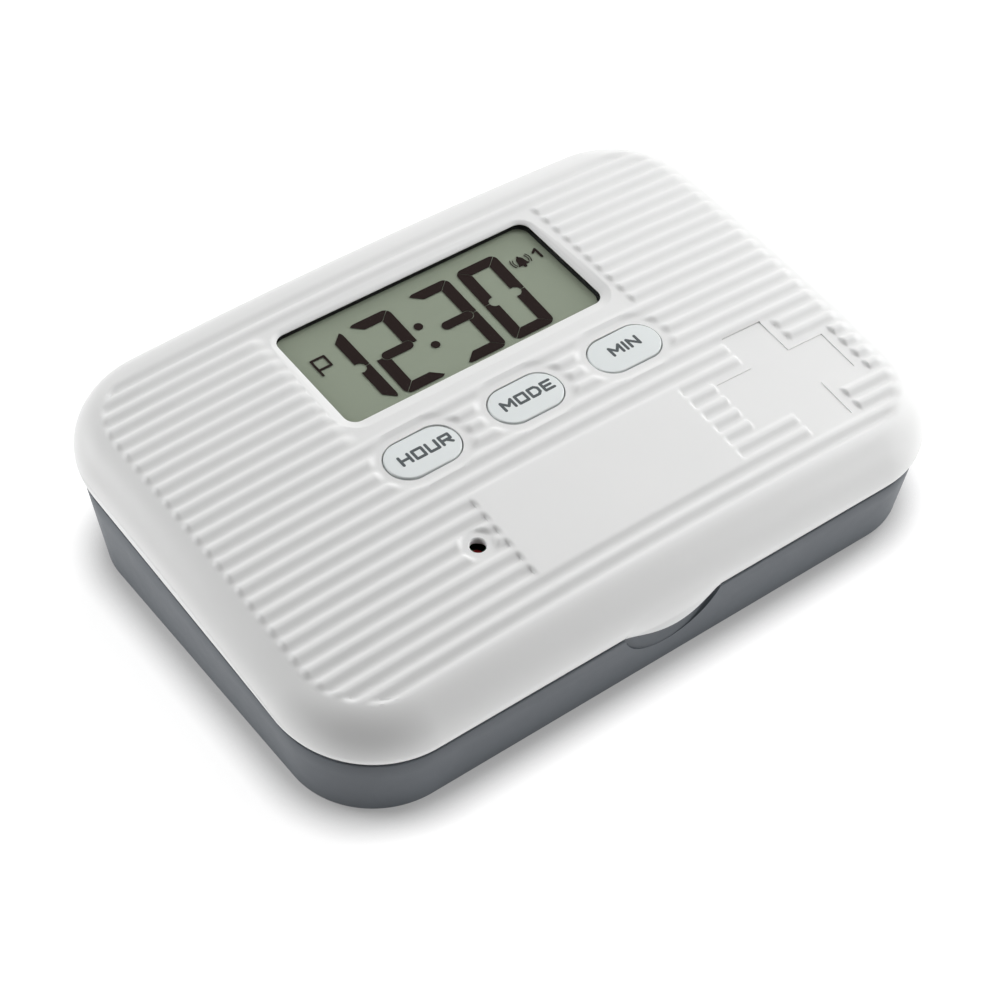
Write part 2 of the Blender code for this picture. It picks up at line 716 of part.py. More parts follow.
def cross_mesh():
    arm = CROSS_ARM / 2
    end = CROSS_SPAN / 2
    quarter = [(end, -arm), (end, arm), (arm, arm)]
    loop = []
    for turn in range(4):
        spin = Matrix.Rotation(math.pi / 2 * turn, 2)
        loop += [tuple(spin @ Vector(point)) for point in quarter]
    return plate_mesh("cross", [loop], -CROSS_RECESS, OVERRUN / 2)


def top_slope_rotation(x, y):
    """Tilts a flat cutter so that it lies on the crowned top at x, y."""
    rise_x = -2 * END_CROWN * x / (BOX_LENGTH / 2) ** 2
    rise_y = TOP_RISE / BOX_DEPTH - 2 * SIDE_CROWN * y / (BOX_DEPTH / 2) ** 2
    return math.atan(rise_y), -math.atan(rise_x), 0


def make_lid_shell(lid, deck):
    back_to_box = (0, -HINGE_Y, -parting_height(HINGE_Y))
    shell = make_object("lid_shell", lid_outer_mesh(), lid, back_to_box)
    cut(shell, make_object("lid_hollow", lid_hollow_mesh(), lid, back_to_box, cutter=True))
    for index, place in enumerate(screw_places()):
        mesh = cylinder_mesh("boss", BOSS_RADIUS, COVER_TOP + FIT, place.z - LID_WALL / 2, SMALL_SEGMENTS)
        join(shell, make_object(f"boss_{index + 1}", mesh, deck, (place.x, place.y, 0), cutter=True))
    for index, place in enumerate(board_screw_places()):
        mesh = cylinder_mesh("post", POST_RADIUS, BOARD_TOP + FIT, place.z - LID_WALL / 2, SMALL_SEGMENTS)
        join(shell, make_object(f"post_{index + 1}", mesh, deck, (place.x, place.y, 0), cutter=True))
    join(shell, make_object("thumb_lip", lip_mesh(), deck, cutter=True))
    length, depth = lens_size()
    rim_bottom = WINDOW_SEAT - FIT - LENS_THICKNESS
    grow = 2 * (FIT + LENS_RIM)
    lens_rim = loft_mesh("lens_rim", [flat_ring(length + grow, depth + grow, LENS_RIM, z)
                                      for z in (rim_bottom, WINDOW_SEAT + GAP)])
    join(shell, make_object("lens_rim", lens_rim, deck, window_place(), cutter=True))
    lens_pocket = loft_mesh("lens_pocket", [
        flat_ring(length + 2 * FIT, depth + 2 * FIT, WINDOW_CORNER, WINDOW_SEAT - OVERRUN / 2),
        flat_ring(length + 2 * FIT, depth + 2 * FIT, WINDOW_CORNER, WINDOW_SEAT)])
    cut(shell, make_object("lens_pocket_cutter", lens_pocket, deck, window_place(), cutter=True),
        make_object("window_cutter", window_cutter_mesh(), deck, window_place(), cutter=True))
    for index, place in enumerate(button_places()):
        radius = BUTTON_HOLE_DEPTH / 2
        hole = loft_mesh("button_hole", [flat_ring(BUTTON_HOLE_LENGTH, BUTTON_HOLE_DEPTH, radius, z)
                                         for z in (place.z - OVERRUN, place.z + OVERRUN)])
        cut(shell, make_object(f"button_hole_{index + 1}", hole, deck, (place.x, place.y, 0), cutter=True))
    lamp = top_on_deck(LAMP_X, LAMP_Y)
    hole = cylinder_mesh("lamp_hole", LAMP_HOLE_RADIUS, lamp.z - OVERRUN, lamp.z + OVERRUN, SMALL_SEGMENTS)
    cut(shell, make_object("lamp_hole_cutter", hole, deck, (lamp.x, lamp.y, 0), cutter=True))
    cross_place = Vector((CROSS_X, CROSS_Y, top_height(CROSS_X, CROSS_Y))) + Vector(back_to_box)
    cut(shell, make_object("cross_cutter", cross_mesh(), lid, cross_place,
                           top_slope_rotation(CROSS_X, CROSS_Y), cutter=True))
    cut(shell, *screw_bores("boss_bore", screw_places(), COVER_TOP, COVER_BOTTOM + SCREW_LENGTH,
                            SCREW_SHANK_RADIUS, deck))
    cut(shell, *screw_bores("post_bore", board_screw_places(), BOARD_TOP, BOARD_BOTTOM + BOARD_SCREW_LENGTH,
                            BOARD_SCREW_SHANK_RADIUS, deck))
    add_knuckles(shell, deck, lid_knuckles(), tray_knuckles(), 1, LID_WALL)
    finish(shell, "white_shell")


def screw_bores(name, places, low, high, shank, deck):
    bores = []
    for index, place in enumerate(places):
        mesh = cylinder_mesh(name, shank + SCREW_HOLE_CLEARANCE, low, high + FIT, SMALL_SEGMENTS)
        bores.append(make_object(f"{name}_{index + 1}", mesh, deck, (place.x, place.y, 0), cutter=True))
    return bores


# Inner cover

def cover_outline():
    length = BOX_LENGTH - 2 * COVER_INSET
    depth = 2 * (DECK_HALF_DEPTH - COVER_INSET)
    outline = rounded_outline(length, depth, CORNER_RADIUS - COVER_INSET, CORNER_STEPS)
    return [(x, v + COVER_SHIFT) for x, v in outline]


def cell_bottom():
    return COVER_BOTTOM + DOOR_THICKNESS + GAP


def cell_top():
    return cell_bottom() + CELL_THICKNESS


def cup_radius():
    return CELL_RADIUS + CUP_CLEARANCE


def make_inner_cover(deck):
    cover = make_object("inner_cover", plate_mesh("inner_cover", [cover_outline()], COVER_BOTTOM, COVER_TOP), deck)
    cell_place = (CELL_X, CELL_V, 0)
    ceiling = cell_top() + CUP_HEADROOM

    def on_cell(name, mesh):
        return make_object(name, mesh, deck, cell_place, cutter=True)

    join(cover, on_cell("cup_body", cylinder_mesh("cup_body", cup_radius() + CUP_WALL,
                                                  COVER_TOP - COVER_THICKNESS / 4, ceiling + CUP_ROOF)))
    door_hole = DOOR_RADIUS + GAP
    groove = door_hole + DOOR_TAB_LENGTH
    steps = [(door_hole, COVER_BOTTOM - OVERRUN), (door_hole, COVER_BOTTOM + DOOR_LIP),
             (groove, COVER_BOTTOM + DOOR_LIP), (groove, cell_bottom()), (cup_radius(), cell_bottom()),
             (cup_radius(), ceiling)]
    cut(cover, on_cell("cell_well", loft_mesh("cell_well", [circle_ring(radius, z) for radius, z in steps])))
    half = DOOR_TAB_WIDTH / 2 + GAP
    entry = make_object("tab_entry", box_mesh("tab_entry", (-groove, -half, COVER_BOTTOM - OVERRUN),
                                              (groove, half, COVER_BOTTOM + DOOR_LIP + GAP)),
                        deck, cell_place, (0, 0, math.radians(DOOR_TURN_DEGREES)), cutter=True)
    cut(cover, entry)
    side = CONTACT_OFFSET + CONTACT_WIDTH / 2 + CONTACT_SLOT_MARGIN
    outer = cup_radius() + CUP_WALL + OVERRUN
    inner = cup_radius() - CUP_WALL
    top_slot = box_mesh("top_contact_slot", (-side, inner, cell_top()), (GAP, outer, ceiling))
    side_slot = box_mesh("side_contact_slot", (0, inner, COVER_TOP + GAP), (side, outer, ceiling - GAP))
    cut(cover, on_cell("top_contact_slot", top_slot), on_cell("side_contact_slot", side_slot))
    for index, place in enumerate(screw_places()):
        head = SCREW_HEAD_RADIUS + SCREW_HOLE_CLEARANCE
        mesh = cylinder_mesh("head_recess", head, COVER_BOTTOM - OVERRUN, COVER_BOTTOM + SCREW_HEAD_HEIGHT + FIT)
        cut(cover, make_object(f"head_recess_{index + 1}", mesh, deck, (place.x, place.y, 0), cutter=True))
    cut(cover, *screw_bores("cover_bore", screw_places(), COVER_BOTTOM, COVER_TOP + GAP, SCREW_SHANK_RADIUS, deck))
    front = catch_face()
    tongue = box_mesh("catch_tongue", (-CATCH_WIDTH / 2, front, -CATCH_DROP),
                      (CATCH_WIDTH / 2, front + CATCH_THICKNESS, COVER_BOTTOM + COVER_THICKNESS / 2))
    join(cover, make_object("catch_tongue", tongue, deck, cutter=True))
    ridge = cylinder_mesh("catch_ridge", CATCH_RIDGE_RADIUS, -CATCH_WIDTH / 3, CATCH_WIDTH / 3, 12, "X")
    ridge_v = front + CATCH_RIDGE_RADIUS / 4
    join(cover, make_object("catch_ridge", ridge, deck, (0, ridge_v, CATCH_RIDGE_RISE - CATCH_DROP), cutter=True))
    finish(cover, "inner_white")


def catch_face():
    """Front face of the catch tongue, just behind the tray's front wall and its backing."""
    return -DECK_HALF_DEPTH + TRAY_WALL + SCOOP_BACKING + CATCH_CLEARANCE + CATCH_DROP * math.tan(DECK_TILT)


def make_cover_screws(deck):
    bottom = COVER_BOTTOM + FIT / 2
    for index, place in enumerate(screw_places()):
        profile = [(0, SCREW_LENGTH), (SCREW_SHANK_RADIUS * 0.6, SCREW_LENGTH),
                   (SCREW_SHANK_RADIUS, SCREW_LENGTH - SCREW_SHANK_RADIUS),
                   (SCREW_SHANK_RADIUS, SCREW_HEAD_HEIGHT), (SCREW_HEAD_RADIUS, SCREW_HEAD_HEIGHT),
                   (SCREW_HEAD_RADIUS, SCREW_HEAD_HEIGHT / 3), (SCREW_HEAD_RADIUS * 0.8, 0), (0, 0)]
        screw = turned_object(f"cover_screw_{index + 1}", profile, deck, (place.x, place.y, bottom))
        finish(screw, "steel")


# Display

def stack_heights():
    """Bottom and top of each layer behind the window, from the lens down, over the deck."""
    heights = {}
    level = WINDOW_SEAT
    for name, thickness in (("lens", LENS_THICKNESS), ("gasket", GASKET_THICKNESS), ("lcd", LCD_THICKNESS)):
        top = level - FIT
        level = top - thickness
        heights[name] = (level, top)
    heights["connector"] = (BOARD_TOP + FIT, level - FIT)
    return heights


def make_display(deck):
    heights = stack_heights()
    place = window_place()
    length, depth = lens_size()
    low, high = heights["lens"]
    lens = plate_mesh("window_lens", [rounded_outline(length, depth, WINDOW_CORNER, CORNER_STEPS)], low, high)
    finish(make_object("window_lens", lens, deck, place), "clear_window")

    low, high = heights["gasket"]
    outer = rounded_outline(LCD_LENGTH, LCD_DEPTH, LCD_CORNER, 2)
    inner = rounded_outline(WINDOW_LENGTH + 2 * GASKET_SET_BACK, WINDOW_DEPTH + 2 * GASKET_SET_BACK,
                            WINDOW_CORNER, CORNER_STEPS)
    gasket = plate_mesh("window_gasket", [outer, inner], low, high)
    finish(make_object("window_gasket", gasket, deck, place), "black_foam")

    low, high = heights["lcd"]
    lcd = plate_mesh("lcd_panel", [outer], low, high)
    finish(make_object("lcd_panel", lcd, deck, place), "display")
    make_lcd_frame(deck, heights)

    low, high = heights["connector"]
    v = -LCD_DEPTH / 2 + CONNECTOR_DEPTH / 2
    half_x, half_v = CONNECTOR_LENGTH / 2, CONNECTOR_DEPTH / 2
    strip = box_mesh("lcd_connector", (-half_x, v - half_v, low), (half_x, v + half_v, high))
    finish(make_object("lcd_connector", strip, deck, place), "grey_rubber")


def make_lcd_frame(deck, heights):
    place = window_place()
    low = BOARD_TOP + FIT
    high = heights["lens"][0] - FIT
    grow = 2 * (FIT + LCD_FRAME_WALL)
    outer = rounded_outline(LCD_LENGTH + grow, LCD_DEPTH + grow, LCD_FRAME_WALL, 3)
    frame = make_object("lcd_frame", plate_mesh("lcd_frame", [outer], low, high), deck, place)
    half_x, half_v = LCD_LENGTH / 2 + FIT, LCD_DEPTH / 2 + FIT
    ledge = heights["lcd"][0] - FIT
    seat = box_mesh("lcd_seat", (-half_x, -half_v, ledge), (half_x, half_v, high + OVERRUN))
    inner_x, inner_v = half_x - LCD_FRAME_LEDGE, half_v - LCD_FRAME_LEDGE
    hollow = box_mesh("lcd_hollow", (-inner_x, -inner_v, low - OVERRUN), (inner_x, inner_v, ledge + GAP))
    slot_x = CONNECTOR_LENGTH / 2 + FIT
    slot = box_mesh("connector_slot", (-slot_x, -half_v, low - OVERRUN), (slot_x, 0, ledge + GAP))
    cut(frame, make_object("lcd_seat", seat, deck, place, cutter=True),
        make_object("lcd_hollow", hollow, deck, place, cutter=True),
        make_object("connector_slot", slot, deck, place, cutter=True))
    finish(frame, "black_plastic")


# Buttons

def button_levels(place):
    """Heights over the deck of one button's top, flange and stem."""
    flange_top = place.z - LID_WALL - BUTTON_FLANGE_GAP
    flange_bottom = flange_top - BUTTON_FLANGE_THICKNESS
    return place.z + BUTTON_PROUD, flange_top, flange_bottom, flange_bottom - BUTTON_STEM_DROP


def make_buttons(deck):
    length = BUTTON_HOLE_LENGTH - 2 * BUTTON_CLEARANCE
    depth = BUTTON_HOLE_DEPTH - 2 * BUTTON_CLEARANCE
    for name, place in zip(BUTTON_NAMES, button_places()):
        top, flange_top, flange_bottom, stem_bottom = button_levels(place)
        rounding = BUTTON_EDGE_ROUND
        outsets = [(-BUTTON_STEM_INSET, stem_bottom), (-BUTTON_STEM_INSET, flange_bottom),
                   (BUTTON_FLANGE_LAP, flange_bottom), (BUTTON_FLANGE_LAP, flange_top), (0, flange_top),
                   (0, top - rounding), (-rounding * 0.3, top - rounding * 0.3), (-rounding, top)]
        rings = [flat_ring(length + 2 * out, depth + 2 * out, depth / 2 + out, z - place.z)
                 for out, z in outsets]
        finish(make_object(name, loft_mesh(name, rings), deck, place), "cool_white_cap")


def make_button_pad(deck):
    places = button_places()
    middle = places[1]
    low = BOARD_TOP + FIT
    depth = 2 * (DOME_BASE_RADIUS + PAD_MARGIN)
    outline = rounded_outline(2 * BUTTON_SPACING + depth, depth, PAD_CORNER, 3)
    pad = make_object("button_pad", plate_mesh("button_pad", [outline], low, low + PAD_THICKNESS), deck,
                      (middle.x, middle.y, 0))
    for index, place in enumerate(places):
        dome_top = button_levels(place)[3] - BUTTON_TRAVEL - GAP / 2
        base = low + PAD_THICKNESS / 2
        bm = bmesh.new()
        bmesh.ops.create_cone(bm, cap_ends=True, segments=SMALL_SEGMENTS, radius1=DOME_BASE_RADIUS,
                              radius2=DOME_TOP_RADIUS, depth=dome_top - base,
                              matrix=Matrix.Translation((0, 0, (dome_top + base) / 2)))
        dome = bm_to_mesh(bm, "dome")
        join(pad, make_object(f"dome_{index + 1}", dome, deck, (place.x, place.y, 0), cutter=True))
    finish(pad, "grey_rubber")


# Circuit board and its parts

def make_board(deck):
    loop = [(-BOARD_RIGHT, BOARD_FRONT), (BOARD_STEP_X, BOARD_FRONT), (BOARD_STEP_X, BOARD_STEP_V),
            (BOARD_RIGHT, BOARD_STEP_V), (BOARD_RIGHT, BOARD_BACK), (-BOARD_RIGHT, BOARD_BACK)]
    board = make_object("circuit_board", plate_mesh("circuit_board", [loop], BOARD_BOTTOM, BOARD_TOP), deck)
    cut(board, *screw_bores("board_bore", board_screw_places(), BOARD_BOTTOM - GAP, BOARD_TOP + GAP,
                            BOARD_SCREW_SHANK_RADIUS, deck))
    finish(board, "green_board")


def make_board_screws(deck):
    bottom = BOARD_BOTTOM - FIT - BOARD_SCREW_HEAD_HEIGHT
    length = BOARD_SCREW_HEAD_HEIGHT + BOARD_SCREW_LENGTH
    shank = BOARD_SCREW_SHANK_RADIUS
    head = BOARD_SCREW_HEAD_RADIUS
    for index, place in enumerate(board_screw_places()):
        profile = [(0, length), (shank * 0.6, length), (shank, length - shank),
                   (shank, BOARD_SCREW_HEAD_HEIGHT), (head, BOARD_SCREW_HEAD_HEIGHT),
                   (head, BOARD_SCREW_HEAD_HEIGHT / 3), (head * 0.8, 0), (0, 0)]
        screw = turned_object(f"board_screw_{index + 1}", profile, deck, (place.x, place.y, bottom))
        finish(screw, "steel")


def make_board_parts(deck):
    base = BOARD_TOP + FIT
    lamp = top_on_deck(LAMP_X, LAMP_Y)
    lamp_top = lamp.z - LID_WALL - LAMP_GAP
    height = lamp_top - base
    dome = [(LAMP_RADIUS * math.sin(a), height - LAMP_RADIUS + LAMP_RADIUS * math.cos(a))
            for a in (math.pi / 2 * step / 5 for step in range(6))]
    profile = dome + [(LAMP_RADIUS, LAMP_RIM_HEIGHT), (LAMP_RIM_RADIUS, LAMP_RIM_HEIGHT), (LAMP_RIM_RADIUS, 0), (0, 0)]
    finish(turned_object("alarm_lamp", profile, deck, (lamp.x, lamp.y, base)), "red_lamp")

    chip = [(CHIP_RADIUS * math.sin(a), CHIP_HEIGHT * math.cos(a))
            for a in (math.pi / 2 * step / 5 for step in range(6))] + [(0, 0)]
    row = button_places()[0].y
    place = (CHIP_FROM_END - RIGHT_END, row - CHIP_FROM_BUTTON_ROW, base)
    finish(turned_object("controller_chip", chip, deck, place), "black_plastic")

    crystal = cylinder_mesh("clock_crystal", CRYSTAL_RADIUS, -CRYSTAL_LENGTH / 2, CRYSTAL_LENGTH / 2,
                            SMALL_SEGMENTS, "X")
    place = (CRYSTAL_FROM_END - RIGHT_END, DECK_HALF_DEPTH - CRYSTAL_FROM_BACK, base + CRYSTAL_RADIUS)
    finish(make_object("clock_crystal", crystal, deck, place), "steel")

    buzzer = [(0, BUZZER_HEIGHT - BUZZER_PORT_DEPTH), (BUZZER_PORT_RADIUS, BUZZER_HEIGHT - BUZZER_PORT_DEPTH),
              (BUZZER_PORT_RADIUS, BUZZER_HEIGHT), (BUZZER_RADIUS, BUZZER_HEIGHT), (BUZZER_RADIUS, 0), (0, 0)]
    place = (BUZZER_FROM_END - RIGHT_END, row, base)
    finish(turned_object("alarm_buzzer", buzzer, deck, place, ROUND_SEGMENTS), "black_plastic")


# Coin cell, contacts and door

def make_cell(deck):
    step_low = CELL_THICKNESS - CELL_STEP_HEIGHT
    profile = [(0, CELL_THICKNESS), (CELL_STEP_RADIUS, CELL_THICKNESS), (CELL_STEP_RADIUS, step_low),
               (CELL_RADIUS, step_low), (CELL_RADIUS, 0), (0, 0)]
    cell = turned_object("coin_cell", profile, deck, (CELL_X, CELL_V, cell_bottom()), ROUND_SEGMENTS)
    finish(cell, "steel")


def make_contacts(deck):
    """Two bent strips, each drawn from the side, from a foot on the board to the cell."""
    t = CONTACT_THICKNESS
    half = CONTACT_WIDTH / 2
    foot = BOARD_TOP + FIT
    touch = cell_top() + FIT
    foot_start = BOARD_STEP_V - CELL_V + GAP
    foot_end = foot_start + CONTACT_FOOT
    crest = touch + CONTACT_SPRING_RISE / 2

    lower = [(foot_end, foot), (foot_start, foot), (cup_radius(), crest), (CELL_STEP_RADIUS / 2, touch),
             (0, touch), (-CELL_STEP_RADIUS / 4, crest)]
    strip = plate_mesh("cell_contact_top", [lower + [(v, z + t) for v, z in reversed(lower)]], -half, half)
    place = (CELL_X - CONTACT_OFFSET, CELL_V, 0)
    finish(make_object("cell_contact_top", strip, deck, place, ALONG_V), "brass")

    rim = CELL_RADIUS + FIT
    bottom = COVER_TOP + 2 * GAP
    loop = [(rim, bottom), (rim, foot + 2 * t), (foot_end, foot + 2 * t), (foot_end, foot),
            (foot_start, foot), (foot_start, foot + t), (rim + t, foot + t), (rim + t, bottom)]
    strip = plate_mesh("cell_contact_side", [loop], -half, half)
    place = (CELL_X + CONTACT_OFFSET, CELL_V, 0)
    finish(make_object("cell_contact_side", strip, deck, place, ALONG_V), "brass")


def make_battery_door(deck):
    place = (CELL_X, CELL_V, COVER_BOTTOM)
    door = make_object("battery_door", cylinder_mesh("battery_door", DOOR_RADIUS, 0, DOOR_THICKNESS), deck, place)
    reach = DOOR_RADIUS + DOOR_TAB_LENGTH
    half = DOOR_TAB_WIDTH / 2
    tabs = box_mesh("door_tabs", (-reach, -half, DOOR_THICKNESS - DOOR_TAB_THICKNESS), (reach, half, DOOR_THICKNESS))
    join(door, make_object("door_tabs", tabs, deck, place, cutter=True))
    half_x, half_y = COIN_SLOT_LENGTH / 2, COIN_SLOT_WIDTH / 2
    slot = box_mesh("coin_slot", (-half_x, -half_y, -OVERRUN), (half_x, half_y, COIN_SLOT_DEPTH))
    cut(door, make_object("coin_slot", slot, deck, place, cutter=True))
    finish(door, "inner_white")


clear_scene()
PARTS = make_collection("electronic_pill_box")
CUTTERS = make_collection("cutters")
MATERIALS = make_materials()

BOX = make_empty("pill_box", (0, BOX_SHIFT_Y, 0))
LID = make_empty("lid_hinge", (0, HINGE_Y, parting_height(HINGE_Y)), BOX)
DECK = make_empty("lid_deck", (0, -HINGE_Y, MID_PARTING_HEIGHT - parting_height(HINGE_Y)), LID, DECK_TILT)
HINGE_DECK = make_empty("tray_deck", (0, 0, MID_PARTING_HEIGHT), BOX, DECK_TILT)

make_tray(BOX)
make_hinge_pins()
make_lid_shell(LID, DECK)
make_inner_cover(DECK)
make_cover_screws(DECK)
make_display(DECK)
make_buttons(DECK)
make_button_pad(DECK)
make_board(DECK)
make_board_screws(DECK)
make_board_parts(DECK)
make_cell(DECK)
make_contacts(DECK)
make_battery_door(DECK)
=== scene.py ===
"""Electronic pill box dressed for rendering: ribbed white lid with a clock, on a slate tray.

Lengths are in metres. Points of the box are given from the middle of its outline, on the floor.
The deck is the sloping plane where the lid meets the tray. Its points are x, v up the slope and w
square to it.
"""
import json
import math

import bmesh
import bpy
from mathutils import Matrix, Vector


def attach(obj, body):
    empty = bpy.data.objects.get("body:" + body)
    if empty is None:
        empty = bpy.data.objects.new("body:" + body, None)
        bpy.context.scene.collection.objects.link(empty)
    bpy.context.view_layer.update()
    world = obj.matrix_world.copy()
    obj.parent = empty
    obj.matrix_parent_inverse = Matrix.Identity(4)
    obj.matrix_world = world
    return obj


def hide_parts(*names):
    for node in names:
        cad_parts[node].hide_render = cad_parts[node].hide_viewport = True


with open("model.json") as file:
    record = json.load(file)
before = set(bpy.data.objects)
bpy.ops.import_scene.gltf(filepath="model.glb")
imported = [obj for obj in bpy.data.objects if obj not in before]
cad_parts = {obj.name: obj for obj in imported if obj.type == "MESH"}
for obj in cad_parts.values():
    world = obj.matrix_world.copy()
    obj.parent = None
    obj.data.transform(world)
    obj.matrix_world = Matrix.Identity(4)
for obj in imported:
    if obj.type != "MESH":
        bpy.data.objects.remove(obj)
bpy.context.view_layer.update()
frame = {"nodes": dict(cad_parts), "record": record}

SCENE = bpy.context.scene
NODES = frame["nodes"]

# Camera, found from the outline of the box in the photo
CAMERA_PLACE = Vector((-0.15992, -0.21067, 0.27251))
CAMERA_AIM = Vector((0.000907, 0.0030, 0.0))
CAMERA_LENS = 83.84
CAMERA_ROLL = math.radians(0.18)
CAMERA_SENSOR = 36.0
CAMERA_CLIP = (0.01, 20.0)

# Studio lights: turn from +Y towards +X, rise, power as at 1 m and distance, which also scales the light
LIGHTS = (
    (45, 20, 1.5, 1.0),
    (45, 65, 1.1, 1.0),
    (90, 20, 2.9, 1.0),
    (90, 45, 3.1, 1.0),
    (90, 70, 1.3, 1.0),
    (135, 20, 2.3, 0.55),
    (315, 20, 4.0, 1.0),
    (315, 45, 1.7, 1.0),
)
LIGHT_SIZE = 0.50
# Painted light: the display glows a little, though it is no lamp, to brighten it in the shade of its recess
DISPLAY_PAINTED_GLOW = 0.03
WORLD_GLOW = 0.01
FLOOR_GLOW = 0.85
# Painted shadow on the floor: near the box its glow drops towards this value as the ambient occlusion within
# the reach falls to the start value
PAINTED_SHADOW_GLOW = 0.28
PAINTED_SHADOW_REACH = 0.0065
PAINTED_SHADOW_START = 0.5
FLOOR_TONE = 0.35
FLOOR_ROUGHNESS = (0.80, 0.90)
FLOOR_HALF = 3.0

# Box outline and heights, as in the solids
BOX_LENGTH = 0.1200
BOX_DEPTH = 0.0835
CORNER_RADIUS = 0.0165
SHIFT_Y = -0.0012097
FRONT_PARTING_HEIGHT = 0.0134
BACK_PARTING_HEIGHT = 0.0196
PARTING_GAP = 0.0003
SEAM_DIP = 0.0005
TOP_HEIGHT = 0.0284263
TOP_RISE = 0.0082
END_CROWN = 0.0020
SIDE_CROWN = 0.0019
LID_WALL = 0.0017
LID_BULGE = 0.0008
LID_FILLET = 0.0060
LID_EDGE = 0.0003
LID_EDGE_MIDDLE = (0.35, 0.3)
HOLLOW_CORNER = 0.0006
TRAY_WALL = 0.0018
TRAY_FLOOR = 0.0018
TRAY_DRAW_IN = 0.0018
TRAY_EDGE_ROUND = 0.0013
TRAY_TOP_EDGE = 0.0003
TRAY_TOP_EDGE_MIDDLE = 0.3
POCKET_ROUND = 0.0016
POCKET_CORNER = 0.0022
DIVIDER_WALL = 0.0012
DIVIDER_DROP = 0.0010
GAP = 0.0003
FIT = 0.0002
OVERRUN = 0.0040
SMOOTH_ANGLE = math.radians(35)

# Ribs of the lid
RIB_PITCH = 0.0028237
RIB_SHIFT = -0.00063
RIB_COUNT = 26
RIB_DEPTH = 0.00056
RIB_END_ROUND = 0.0005
RIB_END_INSET = 0.0040
RIB_TIP = 0.0009
RIB_SOFT_TIP = 0.0024
RIB_SOFT_REACH = 0.040
RIB_SHARPNESS = 1.1

# Fineness of the lid's mesh
STEPS_PER_RIB = 8
LINE_CLEARANCE = 0.3
FINE_LINE = 0.0003
COARSE_LINE = 0.0020
NEAREST_LINES = 0.00006
CORNER_STEPS = 64
WALL_STEPS = 6
FILLET_STEPS = 24

# Hinge, lip and scoop
HINGE_Y = 0.04315
HINGE_SPACING = 0.0640
KNUCKLE_RADIUS = 0.0020
KNUCKLE_CLEARANCE = 0.0003
LID_KNUCKLE_WIDTH = 0.0090
TRAY_KNUCKLE_WIDTH = 0.0050
PIN_BORE_RADIUS = 0.00095
HINGE_OUT = 0.0014
LIP_HALF_WIDTH = 0.0092
LIP_REACH = 0.00095
LIP_DROP = 0.0017
LIP_EDGE = 0.0002
LIP_HEIGHT = 0.0046
LIP_BACK = 0.0007
LIP_TUCK = 0.00004
LIP_SOFTNESS = 1.3
LIP_END_RISE = 0.0001
SCOOP_RADIUS = 0.0098
SCOOP_RISE = 0.0028
SCOOP_DEPTH = 0.0012
SCOOP_BACKING = 0.0012
SCOOP_BACKING_HALF = 0.0112
SCOOP_BACKING_TOP = 0.040
# Steps of the scoop's softened edge: how much less radius and less depth
SCOOP_EDGE = ((0, 0.0003), (0.0001, 0.0001), (0.0004, 0))

# Window and what lies under it
WINDOW_X = 0.00095
WINDOW_Y = 0.01925
WINDOW_LENGTH = 0.0497
WINDOW_DEPTH = 0.0219
WINDOW_CORNER = 0.0014
WINDOW_ROUND = 0.0021
WINDOW_SEAT = 0.0102
WINDOW_EDGE = 0.00012
WINDOW_GROWTH = (0.0003, 0.0005)
WINDOW_SHIFT = -0.00045
WINDOW_SLOPE = 0.0022
WINDOW_SLOPE_RISE = 0.0009
WINDOW_SLOPE_CURVES = (0.55, 0.45)
WINDOW_OUTER_PITCH = 0.8
WINDOW_MARGIN = ((-0.0250, 0.00361), (0.0284, 0.03184))
WINDOW_FADES = (0.0028, 0.0008)
LENS_LAP = 0.0018
LENS_THICKNESS = 0.0008
LENS_RIM = 0.0012
LCD_LENGTH = 0.0524
LCD_DEPTH = 0.0246
LCD_CORNER = 0.0004
LCD_BOTTOM = 0.0064
LCD_STEP = 0.0080
LCD_JOINT = 0.0002
LCD_FRONT_GROWTH = 0.0001
LCD_MIRROR = 0.0091
LCD_FIGURES = 0.00922
FIGURE_THICKNESS = 0.00003

# Figures of the display, in the coordinates of the deck
# Each digit: its lit segments, its right end at the top, its lower end, width, height and slant
DIGITS = (
    ("bc", -0.01343, 0.01012, 0.0078, 0.01739, 0.00013),
    ("abged", -0.00410, 0.01000, 0.0079, 0.01750, 0.00046),
    ("abgcd", 0.00790, 0.00992, 0.0080, 0.01792, 0.00064),
    ("abcdef", 0.01779, 0.00990, 0.00808, 0.01815, 0.00090),
)
DIGIT_POST = 0.0022
DIGIT_BAR = 0.0020
DIGIT_MIDDLE_HALF = 0.00090
DIGIT_MIDDLE_ENDS = (0.00205, 0.00180)
DIGIT_GAP = 0.00014
DIGIT_ROUND = 0.0012
COLON_DOTS = ((-0.00234, 0.02124), (-0.00239, 0.01641))
COLON_RADIUS = 0.00078
BELL_PLACE = (0.02062, 0.02410)
BELL_UNIT = 0.00088
# Small signs: letter, size, place and stroke
SIGNS = (
    ("P", (0.0024, 0.0036), (-0.0210, 0.0207), 0.00042),
    ("1", (0.0016, 0.0021), (0.0233, 0.0232), 0.00045),
)

# Label place, bare and flat, in front of the buttons
LABEL = ((-0.01785, -0.03169), (0.0219, -0.01475))

# Buttons
BUTTON_X = 0.00117
BUTTON_Y = -0.0034
BUTTON_SPACING = 0.0197
BUTTON_HOLE_LENGTH = 0.0135
BUTTON_HOLE_DEPTH = 0.0080
BUTTON_CLEARANCE = 0.00022
BUTTON_MARGIN = 0.0008
BUTTON_FADE = 0.0014
BUTTON_PROUD = -0.00046
BUTTON_ROUND = 0.00022
BUTTON_FLANGE_DROP = 0.00115
BUTTON_FLANGE_LAP = 0.0008
BUTTON_FLANGE_THICKNESS = 0.0008
BUTTON_STEM_INSET = 0.0020
BUTTON_STEM_DROP = 0.0008
